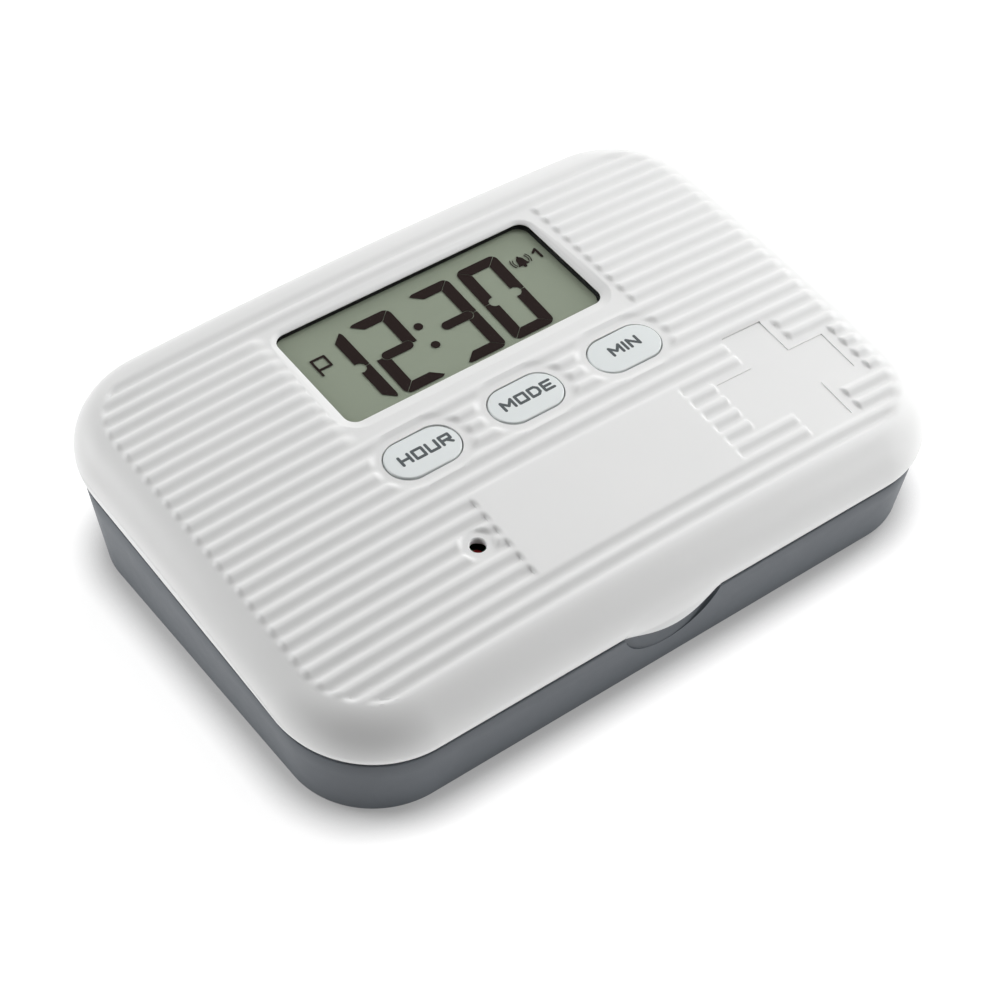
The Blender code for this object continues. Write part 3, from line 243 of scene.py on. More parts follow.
# Each button's name, its word, and where the word stands from the middle of the cap
BUTTON_WORDS = (
    ("hour", "HOUR", (0.0006, 0.0001)),
    ("mode", "MODE", (0.0005, 0.0003)),
    ("minute", "MIN", (0.0003, 0.0004)),
)
LETTER_WIDTH = 0.00165
LETTER_HEIGHT = 0.0017
LETTER_GAP = 0.00085
LETTER_STROKE = 0.00050
LETTER_THICKNESS = 0.00002
LETTER_WIDTHS = {"I": 0.0, "M": LETTER_WIDTH * 1.15}

# Lamp and cross
LAMP_X = -0.02205
LAMP_Y = -0.0222
LAMP_HOLE_RADIUS = 0.0013
LAMP_MARGIN = 0.0010
LAMP_FADE = 0.0008
LAMP_WELL_RADIUS = 0.0021
LAMP_WELL_DEPTH = 0.0008
LAMP_CHAMFER = 0.00015
CROSS_X = 0.0396
CROSS_Y = -0.02125
CROSS_SPAN = 0.0224
CROSS_ARM = 0.0080
CROSS_RECESS = 0.00012
CROSS_LEVEL_ROWS = (-0.02745, -0.01616)
CROSS_UPRIGHT_ROWS = (-0.03310, -0.01051)
CROSS_LEFT_MARGIN = 0.0004
CROSS_RIGHT_MARGIN = 0.0016
CROSS_PAD = 0.0005
CROSS_CUTTER_HEIGHTS = (0.010, 0.045)

DECK_TILT = math.atan2(BACK_PARTING_HEIGHT - FRONT_PARTING_HEIGHT, BOX_DEPTH)
MID_PARTING_HEIGHT = (FRONT_PARTING_HEIGHT + BACK_PARTING_HEIGHT) / 2
HINGE_V = HINGE_Y / math.cos(DECK_TILT)
BUTTON_XS = [BUTTON_X + turn * BUTTON_SPACING for turn in (-1, 0, 1)]
BOX = Matrix.Translation((0, SHIFT_Y, 0))
DECK = Matrix.Translation((0, SHIFT_Y, MID_PARTING_HEIGHT)) @ Matrix.Rotation(DECK_TILT, 4, "X")
HINGE = DECK @ Matrix.Translation((0, HINGE_V, 0)) @ Matrix.Rotation(math.pi / 2, 4, "Z")
HINGE = HINGE @ Matrix.Rotation(math.pi / 2, 4, "X")


# Heights of the box

def parting_height(y):
    return MID_PARTING_HEIGHT + y * math.tan(DECK_TILT)


def seam_height(y):
    """Height of the visible seam, which dips a little towards the front."""
    return parting_height(y) - SEAM_DIP * (0.5 - y / BOX_DEPTH)


def top_height(x, y):
    along = x / (BOX_LENGTH / 2)
    across = y / (BOX_DEPTH / 2)
    return TOP_HEIGHT + TOP_RISE * y / BOX_DEPTH - END_CROWN * along**2 - SIDE_CROWN * across**2


def top_on_deck(x, y):
    rise = top_height(x, y) - MID_PARTING_HEIGHT
    v = y * math.cos(DECK_TILT) + rise * math.sin(DECK_TILT)
    w = rise * math.cos(DECK_TILT) - y * math.sin(DECK_TILT)
    return Vector((x, v, w))


def edge_distances(x, y, bounds):
    """Distance outside a rectangle; negative inside it."""
    (x0, y0), (x1, y1) = bounds
    out_x = max(x0 - x, x - x1)
    out_y = max(y0 - y, y - y1)
    if out_x > 0 and out_y > 0:
        return math.hypot(out_x, out_y)
    return max(out_x, out_y)


def end_distance(x, y, bounds):
    """Distance past the left or right end of a place whose front and back lie along the grooves."""
    (x0, y0), (x1, y1) = bounds
    if y < y0 or y > y1:
        return OVERRUN
    return max(x0 - x, x - x1)


def cross_bounds():
    """The places that the ribs leave free for the arms of the cross, each a whole number of ribs deep."""
    for half, (front, back) in ((CROSS_SPAN / 2, CROSS_LEVEL_ROWS), (CROSS_ARM / 2, CROSS_UPRIGHT_ROWS)):
        yield (CROSS_X - half - CROSS_LEFT_MARGIN, front), (CROSS_X + half + CROSS_RIGHT_MARGIN, back)


def button_distance(x, y, middle):
    span = (BUTTON_HOLE_LENGTH - BUTTON_HOLE_DEPTH) / 2
    along = max(abs(x - middle) - span, 0)
    return math.hypot(along, y - BUTTON_Y) - BUTTON_HOLE_DEPTH / 2


def bare_share(x, y):
    """1 where the ribs have their full height, 0 on the places that are bare at the depth of the grooves."""
    fade = WINDOW_FADES[0] if x < WINDOW_X else WINDOW_FADES[1]
    lamp_distance = math.hypot(x - LAMP_X, y - LAMP_Y) - LAMP_HOLE_RADIUS
    shares = [rounded_step(end_distance(x, y, WINDOW_MARGIN), fade)]
    for middle in BUTTON_XS:
        shares.append(rounded_step(button_distance(x, y, middle) - BUTTON_MARGIN, BUTTON_FADE))
    shares.append(rounded_step(lamp_distance - LAMP_MARGIN, LAMP_FADE))
    shares += [rounded_step(end_distance(x, y, bounds), RIB_END_ROUND) for bounds in cross_bounds()]
    return min(shares)


def rounded_step(distance, reach):
    """Rises from 0 to 1 over the rounded end of a rib or groove."""
    share = min(max(distance / reach, 0), 1)
    return share * share * (3 - 2 * share)


def groove_share(x, y, inset):
    """How deep the ribbing is at a point of the lid: 0 on a crest, 1 in a groove or on a bare place."""
    across = (y - RIB_SHIFT) / RIB_PITCH
    longer = (RIB_SOFT_TIP - RIB_TIP) * rounded_step(x, RIB_SOFT_REACH)
    end = rounded_step(inset - RIB_END_INSET + longer / 2, RIB_TIP + longer)
    if abs(across) > RIB_COUNT / 2:
        return border_share(y) * (1 - end)
    groove = ((1 + math.cos(2 * math.pi * (across - 0.5))) / 2)**RIB_SHARPNESS
    groove *= rounded_step(edge_distances(x, y, LABEL), RIB_END_ROUND)
    groove = 1 - (1 - groove) * bare_share(x, y)
    return end * groove + (1 - end) * border_share(y)


def border_share(y):
    """The border lies low beside the ends of the ribs and level with their crests at the front and back."""
    out = abs(y) - (BOX_DEPTH / 2 - CORNER_RADIUS)
    return rounded_step(1 - out / (CORNER_RADIUS - LID_FILLET), 1)


# Meshes and objects

def link(name, mesh, place=None):
    thing = bpy.data.objects.new(name, mesh)
    SCENE.collection.objects.link(thing)
    if place is not None:
        mesh.transform(place)
    return thing


def skin(name, verts, faces, place=None):
    mesh = bpy.data.meshes.new(name)
    mesh.from_pydata(verts, [], faces)
    mesh.update()
    return link(name, mesh, place)


def ring_skin(rings):
    """Points and faces of a skin over rings with the same number of points."""
    count = len(rings[0])
    verts = [point for ring in rings for point in ring]
    faces = []
    for row in range(len(rings) - 1):
        low = row * count
        for i in range(count):
            j = (i + 1) % count
            faces.append((low + i, low + j, low + count + j, low + count + i))
    return verts, faces


def loft(name, rings, place=None):
    """Closed skin over rings, with a flat cap at each end."""
    verts, faces = ring_skin(rings)
    count = len(rings[0])
    last = (len(rings) - 1) * count
    faces.append(tuple(range(last, last + count)))
    faces.append(tuple(reversed(range(count))))
    return close(skin(name, verts, faces, place))


def close(thing):
    """Welds a mesh, turns its faces outwards and cuts them into triangles."""
    bm = bmesh.new()
    bm.from_mesh(thing.data)
    bmesh.ops.remove_doubles(bm, verts=bm.verts, dist=1e-7)
    bmesh.ops.recalc_face_normals(bm, faces=bm.faces)
    bmesh.ops.triangulate(bm, faces=bm.faces)
    bm.to_mesh(thing.data)
    bm.free()
    return thing


def rounded_outline(length, depth, radius, steps=12):
    points = []
    half_x = length / 2 - radius
    half_y = depth / 2 - radius
    for quarter, (sx, sy) in enumerate(((1, 1), (-1, 1), (-1, -1), (1, -1))):
        for step in range(steps + 1):
            angle = math.pi / 2 * (quarter + step / steps)
            points.append((sx * half_x + radius * math.cos(angle), sy * half_y + radius * math.sin(angle)))
    return points


def corner_outline(x0, x1, y0, y1, radii):
    """Rectangle with a radius for each corner: back right, back left, front left and front right."""
    points = []
    steps = 12
    corners = ((x1, y1, -1, -1), (x0, y1, 1, -1), (x0, y0, 1, 1), (x1, y0, -1, 1))
    for quarter, ((cx, cy, sx, sy), radius) in enumerate(zip(corners, radii)):
        for step in range(steps + 1):
            angle = math.pi / 2 * (quarter + step / steps)
            points.append((cx + sx * radius + radius * math.cos(angle),
                           cy + sy * radius + radius * math.sin(angle)))
    return points


def outline_ring(inset, height, steps):
    """Outline of the box, drawn in by inset, at the heights that a function gives."""
    outline = rounded_outline(BOX_LENGTH - 2 * inset, BOX_DEPTH - 2 * inset, CORNER_RADIUS - inset, steps)
    return [(x, y, height(x, y)) for x, y in outline]


def at_height(outline, z):
    return [(x, y, z) for x, y in outline]


def prism(name, outline, low, high, place=None):
    return loft(name, [at_height(outline, low), at_height(outline, high)], place)


def block(name, low, high, place=None):
    outline = [(low[0], low[1]), (high[0], low[1]), (high[0], high[1]), (low[0], high[1])]
    return prism(name, outline, low[2], high[2], place)


def circle(radius, steps=64, centre=(0, 0)):
    angles = [2 * math.pi * i / steps for i in range(steps)]
    return [(centre[0] + radius * math.cos(a), centre[1] + radius * math.sin(a)) for a in angles]


def boolean(thing, operation, *others):
    """Cuts, joins or crosses a solid with others, which are used up."""
    for other in others:
        modifier = thing.modifiers.new("boolean", "BOOLEAN")
        modifier.operation = operation
        modifier.solver = "MANIFOLD"
        modifier.object = other
        bpy.context.view_layer.update()
        evaluated = thing.evaluated_get(bpy.context.evaluated_depsgraph_get())
        mesh = bpy.data.meshes.new_from_object(evaluated)
        thing.modifiers.clear()
        thing.data = mesh
        bpy.data.objects.remove(other)
    return thing


def cut(thing, *others):
    return boolean(thing, "DIFFERENCE", *others)


def join(thing, *others):
    return boolean(thing, "UNION", *others)


def dress(thing, material, body):
    thing.data.materials.clear()
    thing.data.materials.append(material)
    thing.data.shade_smooth()
    thing.data.set_sharp_from_angle(angle=SMOOTH_ANGLE)
    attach(thing, body)
    return thing


# Lid

def even_lines(start, end, count):
    return [start + (end - start) * i / count for i in range(count + 1)]


def across_lines():
    """Lines along X, in step with the ribs, between the corner centres."""
    end = BOX_DEPTH / 2 - CORNER_RADIUS
    step = RIB_PITCH / STEPS_PER_RIB
    first = math.ceil((-end - RIB_SHIFT) / step + LINE_CLEARANCE)
    last = math.floor((end - RIB_SHIFT) / step - LINE_CLEARANCE)
    return [-end] + [RIB_SHIFT + i * step for i in range(first, last + 1)] + [end]


def spread_lines(start, end, fine):
    """Lines from start to end, close together in the fine spans and wide apart between them."""
    lines = [start]
    while lines[-1] < end:
        here = lines[-1]
        near = any(low - FINE_LINE < here < high for low, high in fine)
        step = FINE_LINE if near else COARSE_LINE
        ahead = [low for low, high in fine if here < low - FINE_LINE < here + step]
        lines.append(min(ahead) - FINE_LINE / 2 if ahead and not near else here + step)
    while lines and end - lines[-1] < FINE_LINE:
        lines.pop()
    return lines + [end]


def along_lines():
    """Lines along Y, close together where ribs end at the window, label, buttons, lamp and cross."""
    end = BOX_LENGTH / 2 - CORNER_RADIUS
    reach = BUTTON_SPACING + BUTTON_HOLE_LENGTH / 2 + BUTTON_MARGIN + BUTTON_FADE
    left_arm = CROSS_X - CROSS_ARM / 2 - CROSS_LEFT_MARGIN
    fine = [(BUTTON_X - reach, BUTTON_X + reach), (left_arm - RIB_END_ROUND, left_arm)]
    return spread_lines(-end, end, fine)


def flat_insets(start):
    """Insets of the rings over the flat part of the lid: in step with the ribs, close at the cross's end."""
    step = RIB_PITCH / STEPS_PER_RIB
    half = BOX_DEPTH / 2
    index = math.ceil((half - RIB_SHIFT - CORNER_RADIUS + step * LINE_CLEARANCE) / step)
    lines = []
    while half - (RIB_SHIFT + index * step) > start + step * LINE_CLEARANCE:
        lines.append(half - (RIB_SHIFT + index * step))
        index += 1
    cross_end = BOX_LENGTH / 2 - CROSS_X - CROSS_SPAN / 2 - CROSS_RIGHT_MARGIN
    for share in (0.0, 0.25, 0.5, 0.75, 1.0):
        inset = cross_end - share * RIB_END_ROUND
        lines = [line for line in lines if abs(line - inset) > NEAREST_LINES] + [inset]
    return sorted(lines) + [CORNER_RADIUS]


def lid_point(x, y, inset):
    """A point of the lid's top or rounded edge, drawn in by inset from the outline."""
    turn = inset + LID_BULGE
    drop = 0.0
    if turn < LID_FILLET:
        drop = LID_FILLET * (1 - math.sqrt(max(1 - (1 - turn / LID_FILLET) ** 2, 0)))
    return x, y, top_height(x, y) - drop - RIB_DEPTH * groove_share(x, y, inset)


def ring_points(inset, xs, ys):
    """Points round the outline drawn in by inset, from the right end of the back right corner."""
    radius = CORNER_RADIUS - inset
    cx = BOX_LENGTH / 2 - CORNER_RADIUS
    cy = BOX_DEPTH / 2 - CORNER_RADIUS
    points = []
    sides = (([(x, 1) for x in reversed(xs)], "x"), ([(y, -1) for y in reversed(ys)], "y"),
             ([(x, -1) for x in xs], "x"), ([(y, 1) for y in ys], "y"))
    corners = ((cx, cy), (-cx, cy), (-cx, -cy), (cx, -cy))
    for quarter, ((px, py), (side, axis)) in enumerate(zip(corners, sides)):
        for step in range(CORNER_STEPS):
            angle = math.pi / 2 * (quarter + step / CORNER_STEPS)
            points.append((px + radius * math.cos(angle), py + radius * math.sin(angle)))
        for value, sign in side[:-1]:
            if axis == "x":
                points.append((value, sign * (cy + radius)))
            else:
                points.append((sign * (cx + radius), value))
    return points


def lid_solid():
    """The lid without its hollow: rings from the seam up to the corners' centres, and a grid between them."""
    xs = along_lines()
    ys = across_lines()
    rings = []
    middle = LID_EDGE_MIDDLE
    for inset, rise in ((LID_EDGE, 0.0), (LID_EDGE * middle[0], LID_EDGE * middle[1]), (0.0, LID_EDGE)):
        rings.append([(x, y, seam_height(y) + PARTING_GAP / 2 + rise) for x, y in ring_points(inset, xs, ys)])
    for step in range(1, WALL_STEPS + 1):
        share = step / WALL_STEPS
        ring = []
        for x, y in ring_points(-LID_BULGE * math.sin(math.pi / 2 * share), xs, ys):
            low = seam_height(y) + PARTING_GAP / 2 + LID_EDGE
            ring.append((x, y, low + share * (top_height(x, y) - LID_FILLET - low)))
        rings.append(ring)
    insets = []
    for step in range(1, FILLET_STEPS + 1):
        insets.append(LID_FILLET * (1 - math.cos(math.pi / 2 * step / FILLET_STEPS)) - LID_BULGE)
    insets += flat_insets(insets[-1])
    for inset in insets:
        rings.append([lid_point(x, y, inset) for x, y in ring_points(inset, xs, ys)])
    verts, faces = ring_skin(rings)
    faces.append(tuple(reversed(range(len(rings[0])))))
    start = len(verts)
    verts += [lid_point(x, y, CORNER_RADIUS) for x in xs for y in ys]
    rows = len(ys)
    for i in range(len(xs) - 1):
        for j in range(rows - 1):
            a = start + i * rows + j
            faces.append((a, a + rows, a + rows + 1, a + 1))
    return close(skin("lid_shell_ribbed", verts, faces))


def slab(name, depth, low_xy, high_xy):
    """Solid over part of the lid, from a surface that is depth below its crests up to well above it."""
    nx = 24
    ny = 18
    xs = even_lines(low_xy[0], high_xy[0], nx)
    ys = even_lines(low_xy[1], high_xy[1], ny)
    verts = [(x, y, top_height(x, y) - depth) for x in xs for y in ys]
    verts += [(x, y, top_height(x, y) + OVERRUN) for x in xs for y in ys]
    faces = []
    rows = ny + 1
    upper = (nx + 1) * rows
    for i in range(nx):
        for j in range(ny):
            a = i * rows + j
            faces.append((a, a + 1, a + rows + 1, a + rows))
            faces.append((upper + a, upper + a + rows, upper + a + rows + 1, upper + a + 1))
    for i in range(nx):
        for a in (i * rows, i * rows + ny):
            faces.append((a, a + rows, upper + a + rows, upper + a))
    for j in range(ny):
        for a in (j, nx * rows + j):
            faces.append((a, a + 1, upper + a + 1, upper + a))
    return close(skin(name, verts, faces))


def lid_hollow():
    """The room inside the lid, one wall thickness below its crests."""
    steps = 16
    fillet = LID_FILLET - LID_WALL
    rings = [outline_ring(LID_WALL, lambda x, y: parting_height(y) - OVERRUN, steps),
             outline_ring(LID_WALL, lambda x, y: top_height(x, y) - LID_WALL - fillet, steps)]
    for step in range(1, 7):
        angle = math.pi / 2 * step / 6
        drop = LID_WALL + fillet * (1 - math.sin(angle))
        inset = LID_WALL + fillet * (1 - math.cos(angle))
        rings.append(outline_ring(inset, lambda x, y, drop=drop: top_height(x, y) - drop, steps))
    for inset in even_lines(LID_WALL + fillet, CORNER_RADIUS - HOLLOW_CORNER, 5)[1:]:
        rings.append(outline_ring(inset, lambda x, y: top_height(x, y) - LID_WALL, steps))
    return loft("lid_hollow", rings)


def cross_cutter():
    """Cutter for the recessed cross, with a floor that follows the lid's top."""
    arm = CROSS_ARM / 2
    end = CROSS_SPAN / 2
    points = []
    for turn in range(4):
        spin = Matrix.Rotation(math.pi / 2 * turn, 2)
        points += [spin @ Vector(point) for point in ((end, -arm), (end, arm), (arm, arm))]
    outline = [(CROSS_X + x, CROSS_Y + y) for x, y in points]
    xs = [x for x, y in outline]
    ys = [y for x, y in outline]
    low = (min(xs) - CROSS_PAD, min(ys) - CROSS_PAD)
    high = (max(xs) + CROSS_PAD, max(ys) + CROSS_PAD)
    cutter = slab("cross", RIB_DEPTH + CROSS_RECESS, low, high)
    boolean(cutter, "INTERSECT", prism("outline", outline, *CROSS_CUTTER_HEIGHTS))
    cutter.data.transform(BOX)
    return cutter


def window_place():
    place = top_on_deck(WINDOW_X, WINDOW_Y)
    return DECK @ Matrix.Translation((place.x, place.y, 0))


def window_cutter():
    """The opening with its rounded slope, from the ribbed top down to the seat of the lens."""
    rim = WINDOW_SEAT + WINDOW_EDGE

    def ring(out, z):
        length = WINDOW_LENGTH + WINDOW_GROWTH[0] + 2 * out
        depth = WINDOW_DEPTH + WINDOW_GROWTH[1] + 2 * out
        return at_height(rounded_outline(length, depth, WINDOW_ROUND + out), z)

    rings = [ring(0, WINDOW_SEAT - OVERRUN), ring(0, rim)]
    steps = 8
    curved, straight = WINDOW_SLOPE_CURVES
    for step in range(1, steps + 1):
        share = step / steps
        out = WINDOW_SLOPE * share * (curved * math.sin(math.pi / 2 * share) + straight)
        rings.append(ring(out, rim + WINDOW_SLOPE_RISE * share))
    rings.append(ring(out + OVERRUN, rim + WINDOW_SLOPE_RISE + OVERRUN * WINDOW_OUTER_PITCH))
    return loft("window_cutter", rings, window_place() @ Matrix.Translation((0, WINDOW_SHIFT, 0)))


def lamp_cutter():
    """Small hole with a softened rim, wider underneath so that the lamp shines up through it."""
    well = -RIB_DEPTH - LAMP_WELL_DEPTH
    rim = -RIB_DEPTH - LAMP_CHAMFER
    profile = [(LAMP_WELL_RADIUS, -OVERRUN), (LAMP_WELL_RADIUS, well), (LAMP_HOLE_RADIUS, well)]
    profile.append((LAMP_HOLE_RADIUS, rim))
    for step in range(1, 7):
        angle = math.pi / 2 * step / 6
        out = LAMP_CHAMFER * (1 - math.cos(angle))
        profile.append((LAMP_HOLE_RADIUS + out, rim + LAMP_CHAMFER * math.sin(angle)))
    profile.append((LAMP_HOLE_RADIUS + LAMP_CHAMFER, OVERRUN))
    rings = [at_height(circle(radius, 48), z) for radius, z in profile]
    return loft("lamp_hole", rings, DECK @ Matrix.Translation(top_on_deck(LAMP_X, LAMP_Y)))


def knuckle_outline(side, reach):
    """Round knuckle on one side of the hinge line, with an arm that reaches to the wall."""
    first = -math.asin(PARTING_GAP / KNUCKLE_RADIUS)
    last = 3 * math.pi / 2
    steps = 40
    points = [(-reach, side * KNUCKLE_RADIUS), (-reach, side * PARTING_GAP)]
    for step in range(steps + 1):
        angle = first + (last - first) * step / steps
        points.append((-KNUCKLE_RADIUS * math.cos(angle), -side * KNUCKLE_RADIUS * math.sin(angle)))
    return points


def hinge_cylinder(name, radius, middle, half):
    return prism(name, circle(radius, 48), middle - half, middle + half, HINGE)


def add_knuckles(thing, own, others, side, wall):
    """Clears the other part's knuckles, adds a part's own ones and bores them for the pins."""
    for middle, width in others:
        cut(thing, hinge_cylinder("hollow", KNUCKLE_RADIUS + KNUCKLE_CLEARANCE, middle, width / 2 + FIT))
    outline = knuckle_outline(side, HINGE_OUT + wall - FIT / 2)
    for middle, width in own:
        join(thing, prism("knuckle", outline, middle - width / 2, middle + width / 2, HINGE))
    half = LID_KNUCKLE_WIDTH / 2 + GAP + TRAY_KNUCKLE_WIDTH + GAP
    for middle in (-HINGE_SPACING / 2, HINGE_SPACING / 2):
        cut(thing, hinge_cylinder("bore", PIN_BORE_RADIUS, middle, half))


def lid_knuckles():
    return [(side * HINGE_SPACING / 2, LID_KNUCKLE_WIDTH) for side in (-1, 1)]


def tray_knuckles():
    step = LID_KNUCKLE_WIDTH / 2 + GAP + TRAY_KNUCKLE_WIDTH / 2
    middles = [side * HINGE_SPACING / 2 + turn * step for side in (-1, 1) for turn in (-1, 1)]
    return [(middle, TRAY_KNUCKLE_WIDTH) for middle in middles]


def wall_out(rise):
    """How far the lid's front wall stands out at a height above the seam."""
    wall = top_height(0, -BOX_DEPTH / 2) - LID_FILLET - seam_height(-BOX_DEPTH / 2) - LID_EDGE
    if rise < wall:
        return LID_BULGE * math.sin(math.pi / 2 * max(rise, 0) / wall)
    return LID_BULGE - LID_FILLET * (1 - math.sqrt(1 - ((rise - wall) / LID_FILLET)**2))


def lip_solid():
    """Thumb lip: a rim that swells smoothly out of the front wall and below it."""
    base = seam_height(-BOX_DEPTH / 2) + PARTING_GAP / 2
    root = -BOX_DEPTH / 2 + LIP_BACK
    rings = []
    steps = 64
    levels = 20
    for step in range(steps + 1):
        across = 2 * step / steps - 1
        swell = max(1 - across**2, 0)**LIP_SOFTNESS
        edge = LIP_EDGE * swell
        low = LIP_END_RISE - (LIP_DROP + LIP_END_RISE) * swell
        section = [(root, base + low)]
        for level in range(levels + 1):
            share = level / levels
            rise = low + (LIP_HEIGHT - low) * share
            fade = (1 - share)**2 * (1 + 2 * share)
            out = wall_out(rise) - LIP_TUCK + (LIP_REACH + LIP_TUCK) * swell * fade
            if level == 0:
                section.append((-BOX_DEPTH / 2 - out + edge, base + low))
                rise += edge
            section.append((-BOX_DEPTH / 2 - out, base + rise))
        section.append((root, base + LIP_HEIGHT))
        rings.append([(across * LIP_HALF_WIDTH, y, z) for y, z in section])
    return loft("thumb_lip", rings, BOX)


def make_lid(material):
    lid = lid_solid()
    lid.data.transform(BOX)
    hollow = lid_hollow()
    hollow.data.transform(BOX)
    cut(lid, hollow)
    join(lid, lip_solid())
    length = WINDOW_LENGTH + 2 * LENS_LAP
    depth = WINDOW_DEPTH + 2 * LENS_LAP
    grow = 2 * (FIT + LENS_RIM)
    rim = prism("lens_rim", rounded_outline(length + grow, depth + grow, LENS_RIM),
                WINDOW_SEAT - FIT - LENS_THICKNESS, WINDOW_SEAT + GAP, window_place())
    join(lid, rim)
    cut(lid, cross_cutter())
    pocket = prism("lens_pocket", rounded_outline(length + 2 * FIT, depth + 2 * FIT, WINDOW_CORNER),
                   WINDOW_SEAT - OVERRUN / 2, WINDOW_SEAT, window_place())
    cut(lid, pocket, window_cutter())
    outline = rounded_outline(BUTTON_HOLE_LENGTH, BUTTON_HOLE_DEPTH, BUTTON_HOLE_DEPTH / 2, 24)
    for x in BUTTON_XS:
        place = DECK @ Matrix.Translation(top_on_deck(x, BUTTON_Y))
        cut(lid, prism("button_hole", outline, -OVERRUN, OVERRUN, place))
    cut(lid, lamp_cutter())
    add_knuckles(lid, lid_knuckles(), tray_knuckles(), 1, LID_WALL)
    dress(lid, material, "lid")
    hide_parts("lid_shell")


# Tray

def tray_solid():
    """The tray without its compartments."""
    steps = 24
    rings = []
    for step in range(9):
        angle = math.pi / 2 * step / 8
        inset = TRAY_DRAW_IN + TRAY_EDGE_ROUND * (1 - math.sin(angle))
        z = TRAY_EDGE_ROUND * (1 - math.cos(angle))
        rings.append(outline_ring(inset, lambda x, y, z=z: z, steps))
    for share in (0.25, 0.5, 0.75, 1.0):
        def height(x, y, share=share):
            high = seam_height(y) - PARTING_GAP / 2 - TRAY_TOP_EDGE
            return TRAY_EDGE_ROUND + share * (high - TRAY_EDGE_ROUND)
        rings.append(outline_ring(TRAY_DRAW_IN * (1 - share), height, steps))
    middle = TRAY_TOP_EDGE * TRAY_TOP_EDGE_MIDDLE
    for inset, drop in ((middle, middle), (TRAY_TOP_EDGE, 0)):
        rings.append(outline_ring(inset, lambda x, y, d=drop: seam_height(y) - PARTING_GAP / 2 - d, steps))
    return loft("base_tray_smooth", rings, BOX)


def pocket_bounds():
    """The six compartments: which outer sides each has, and the divider faces that close it."""
    inner = BOX_LENGTH / 2 - TRAY_WALL
    half = DIVIDER_WALL / 2
    third = inner / 3
    spans = ((None, -third - half), (-third + half, third - half), (third + half, None))
    for row in (-1, 1):
        for column, (x0, x1) in enumerate(spans):
            yield row, column, x0, x1, half


def pocket_solid(row, column, x0, x1, half):
    """Cutter for one compartment, with a rounded floor."""
    rings = []

    def ring(inset, shrink, height):
        side = BOX_LENGTH / 2 - inset
        end = BOX_DEPTH / 2 - inset
        left = -side if x0 is None else x0 + shrink
        right = side if x1 is None else x1 - shrink
        front, back = (-end, -half - shrink) if row < 0 else (half + shrink, end)
        radii = [POCKET_CORNER] * 4
        if column == 0:
            radii[2 if row < 0 else 1] = CORNER_RADIUS - inset
        if column == 2:
            radii[3 if row < 0 else 0] = CORNER_RADIUS - inset
        return [(x, y, height(y)) for x, y in corner_outline(left, right, front, back, radii)]

    for step in range(7):
        angle = math.pi / 2 * step / 6
        shrink = POCKET_ROUND * (1 - math.sin(angle))
        z = TRAY_FLOOR + POCKET_ROUND * (1 - math.cos(angle))
        rings.append(ring(TRAY_WALL + TRAY_DRAW_IN + shrink, shrink, lambda y, z=z: z))
    rings.append(ring(TRAY_WALL, 0, lambda y: parting_height(y) - DIVIDER_DROP / 2))
    return loft("pocket", rings, BOX)


def scoop_cutter():
    """Round cutter for the finger scoop in the front wall, with a softened edge at its end."""
    turn = Matrix.Rotation(-math.pi / 2, 4, "X")
    place = BOX @ Matrix.Translation((0, 0, FRONT_PARTING_HEIGHT - SEAM_DIP + SCOOP_RISE)) @ turn
    front = -BOX_DEPTH / 2
    rings = [at_height(circle(SCOOP_RADIUS, 96), front - OVERRUN)]
    for less, short in SCOOP_EDGE:
        rings.append(at_height(circle(SCOOP_RADIUS - less, 96), front + SCOOP_DEPTH - short))
    return loft("scoop", rings, place)


def make_tray(material):
    tray = tray_solid()
    steps = 24
    mouth = loft("mouth", [outline_ring(TRAY_WALL, lambda x, y: parting_height(y) - DIVIDER_DROP, steps),
                           outline_ring(TRAY_WALL, lambda x, y: parting_height(y) + OVERRUN, steps)], BOX)
    low = (-SCOOP_BACKING_HALF, -BOX_DEPTH / 2 - OVERRUN, 0.0)
    high = (SCOOP_BACKING_HALF, -BOX_DEPTH / 2 + TRAY_WALL + SCOOP_BACKING, SCOOP_BACKING_TOP)
    cut(mouth, block("backing", low, high, BOX))
    cutters = [mouth]
    for row, column, x0, x1, half in pocket_bounds():
        pocket = pocket_solid(row, column, x0, x1, half)
        if row < 0 and column == 1:
            cut(pocket, block("backing", low, high, BOX))
        cutters.append(pocket)
    cut(tray, *cutters)
    add_knuckles(tray, tray_knuckles(), lid_knuckles(), -1, TRAY_WALL)
    cut(tray, scoop_cutter())
    dress(tray, material, "base")
    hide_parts("base_tray")


# Buttons

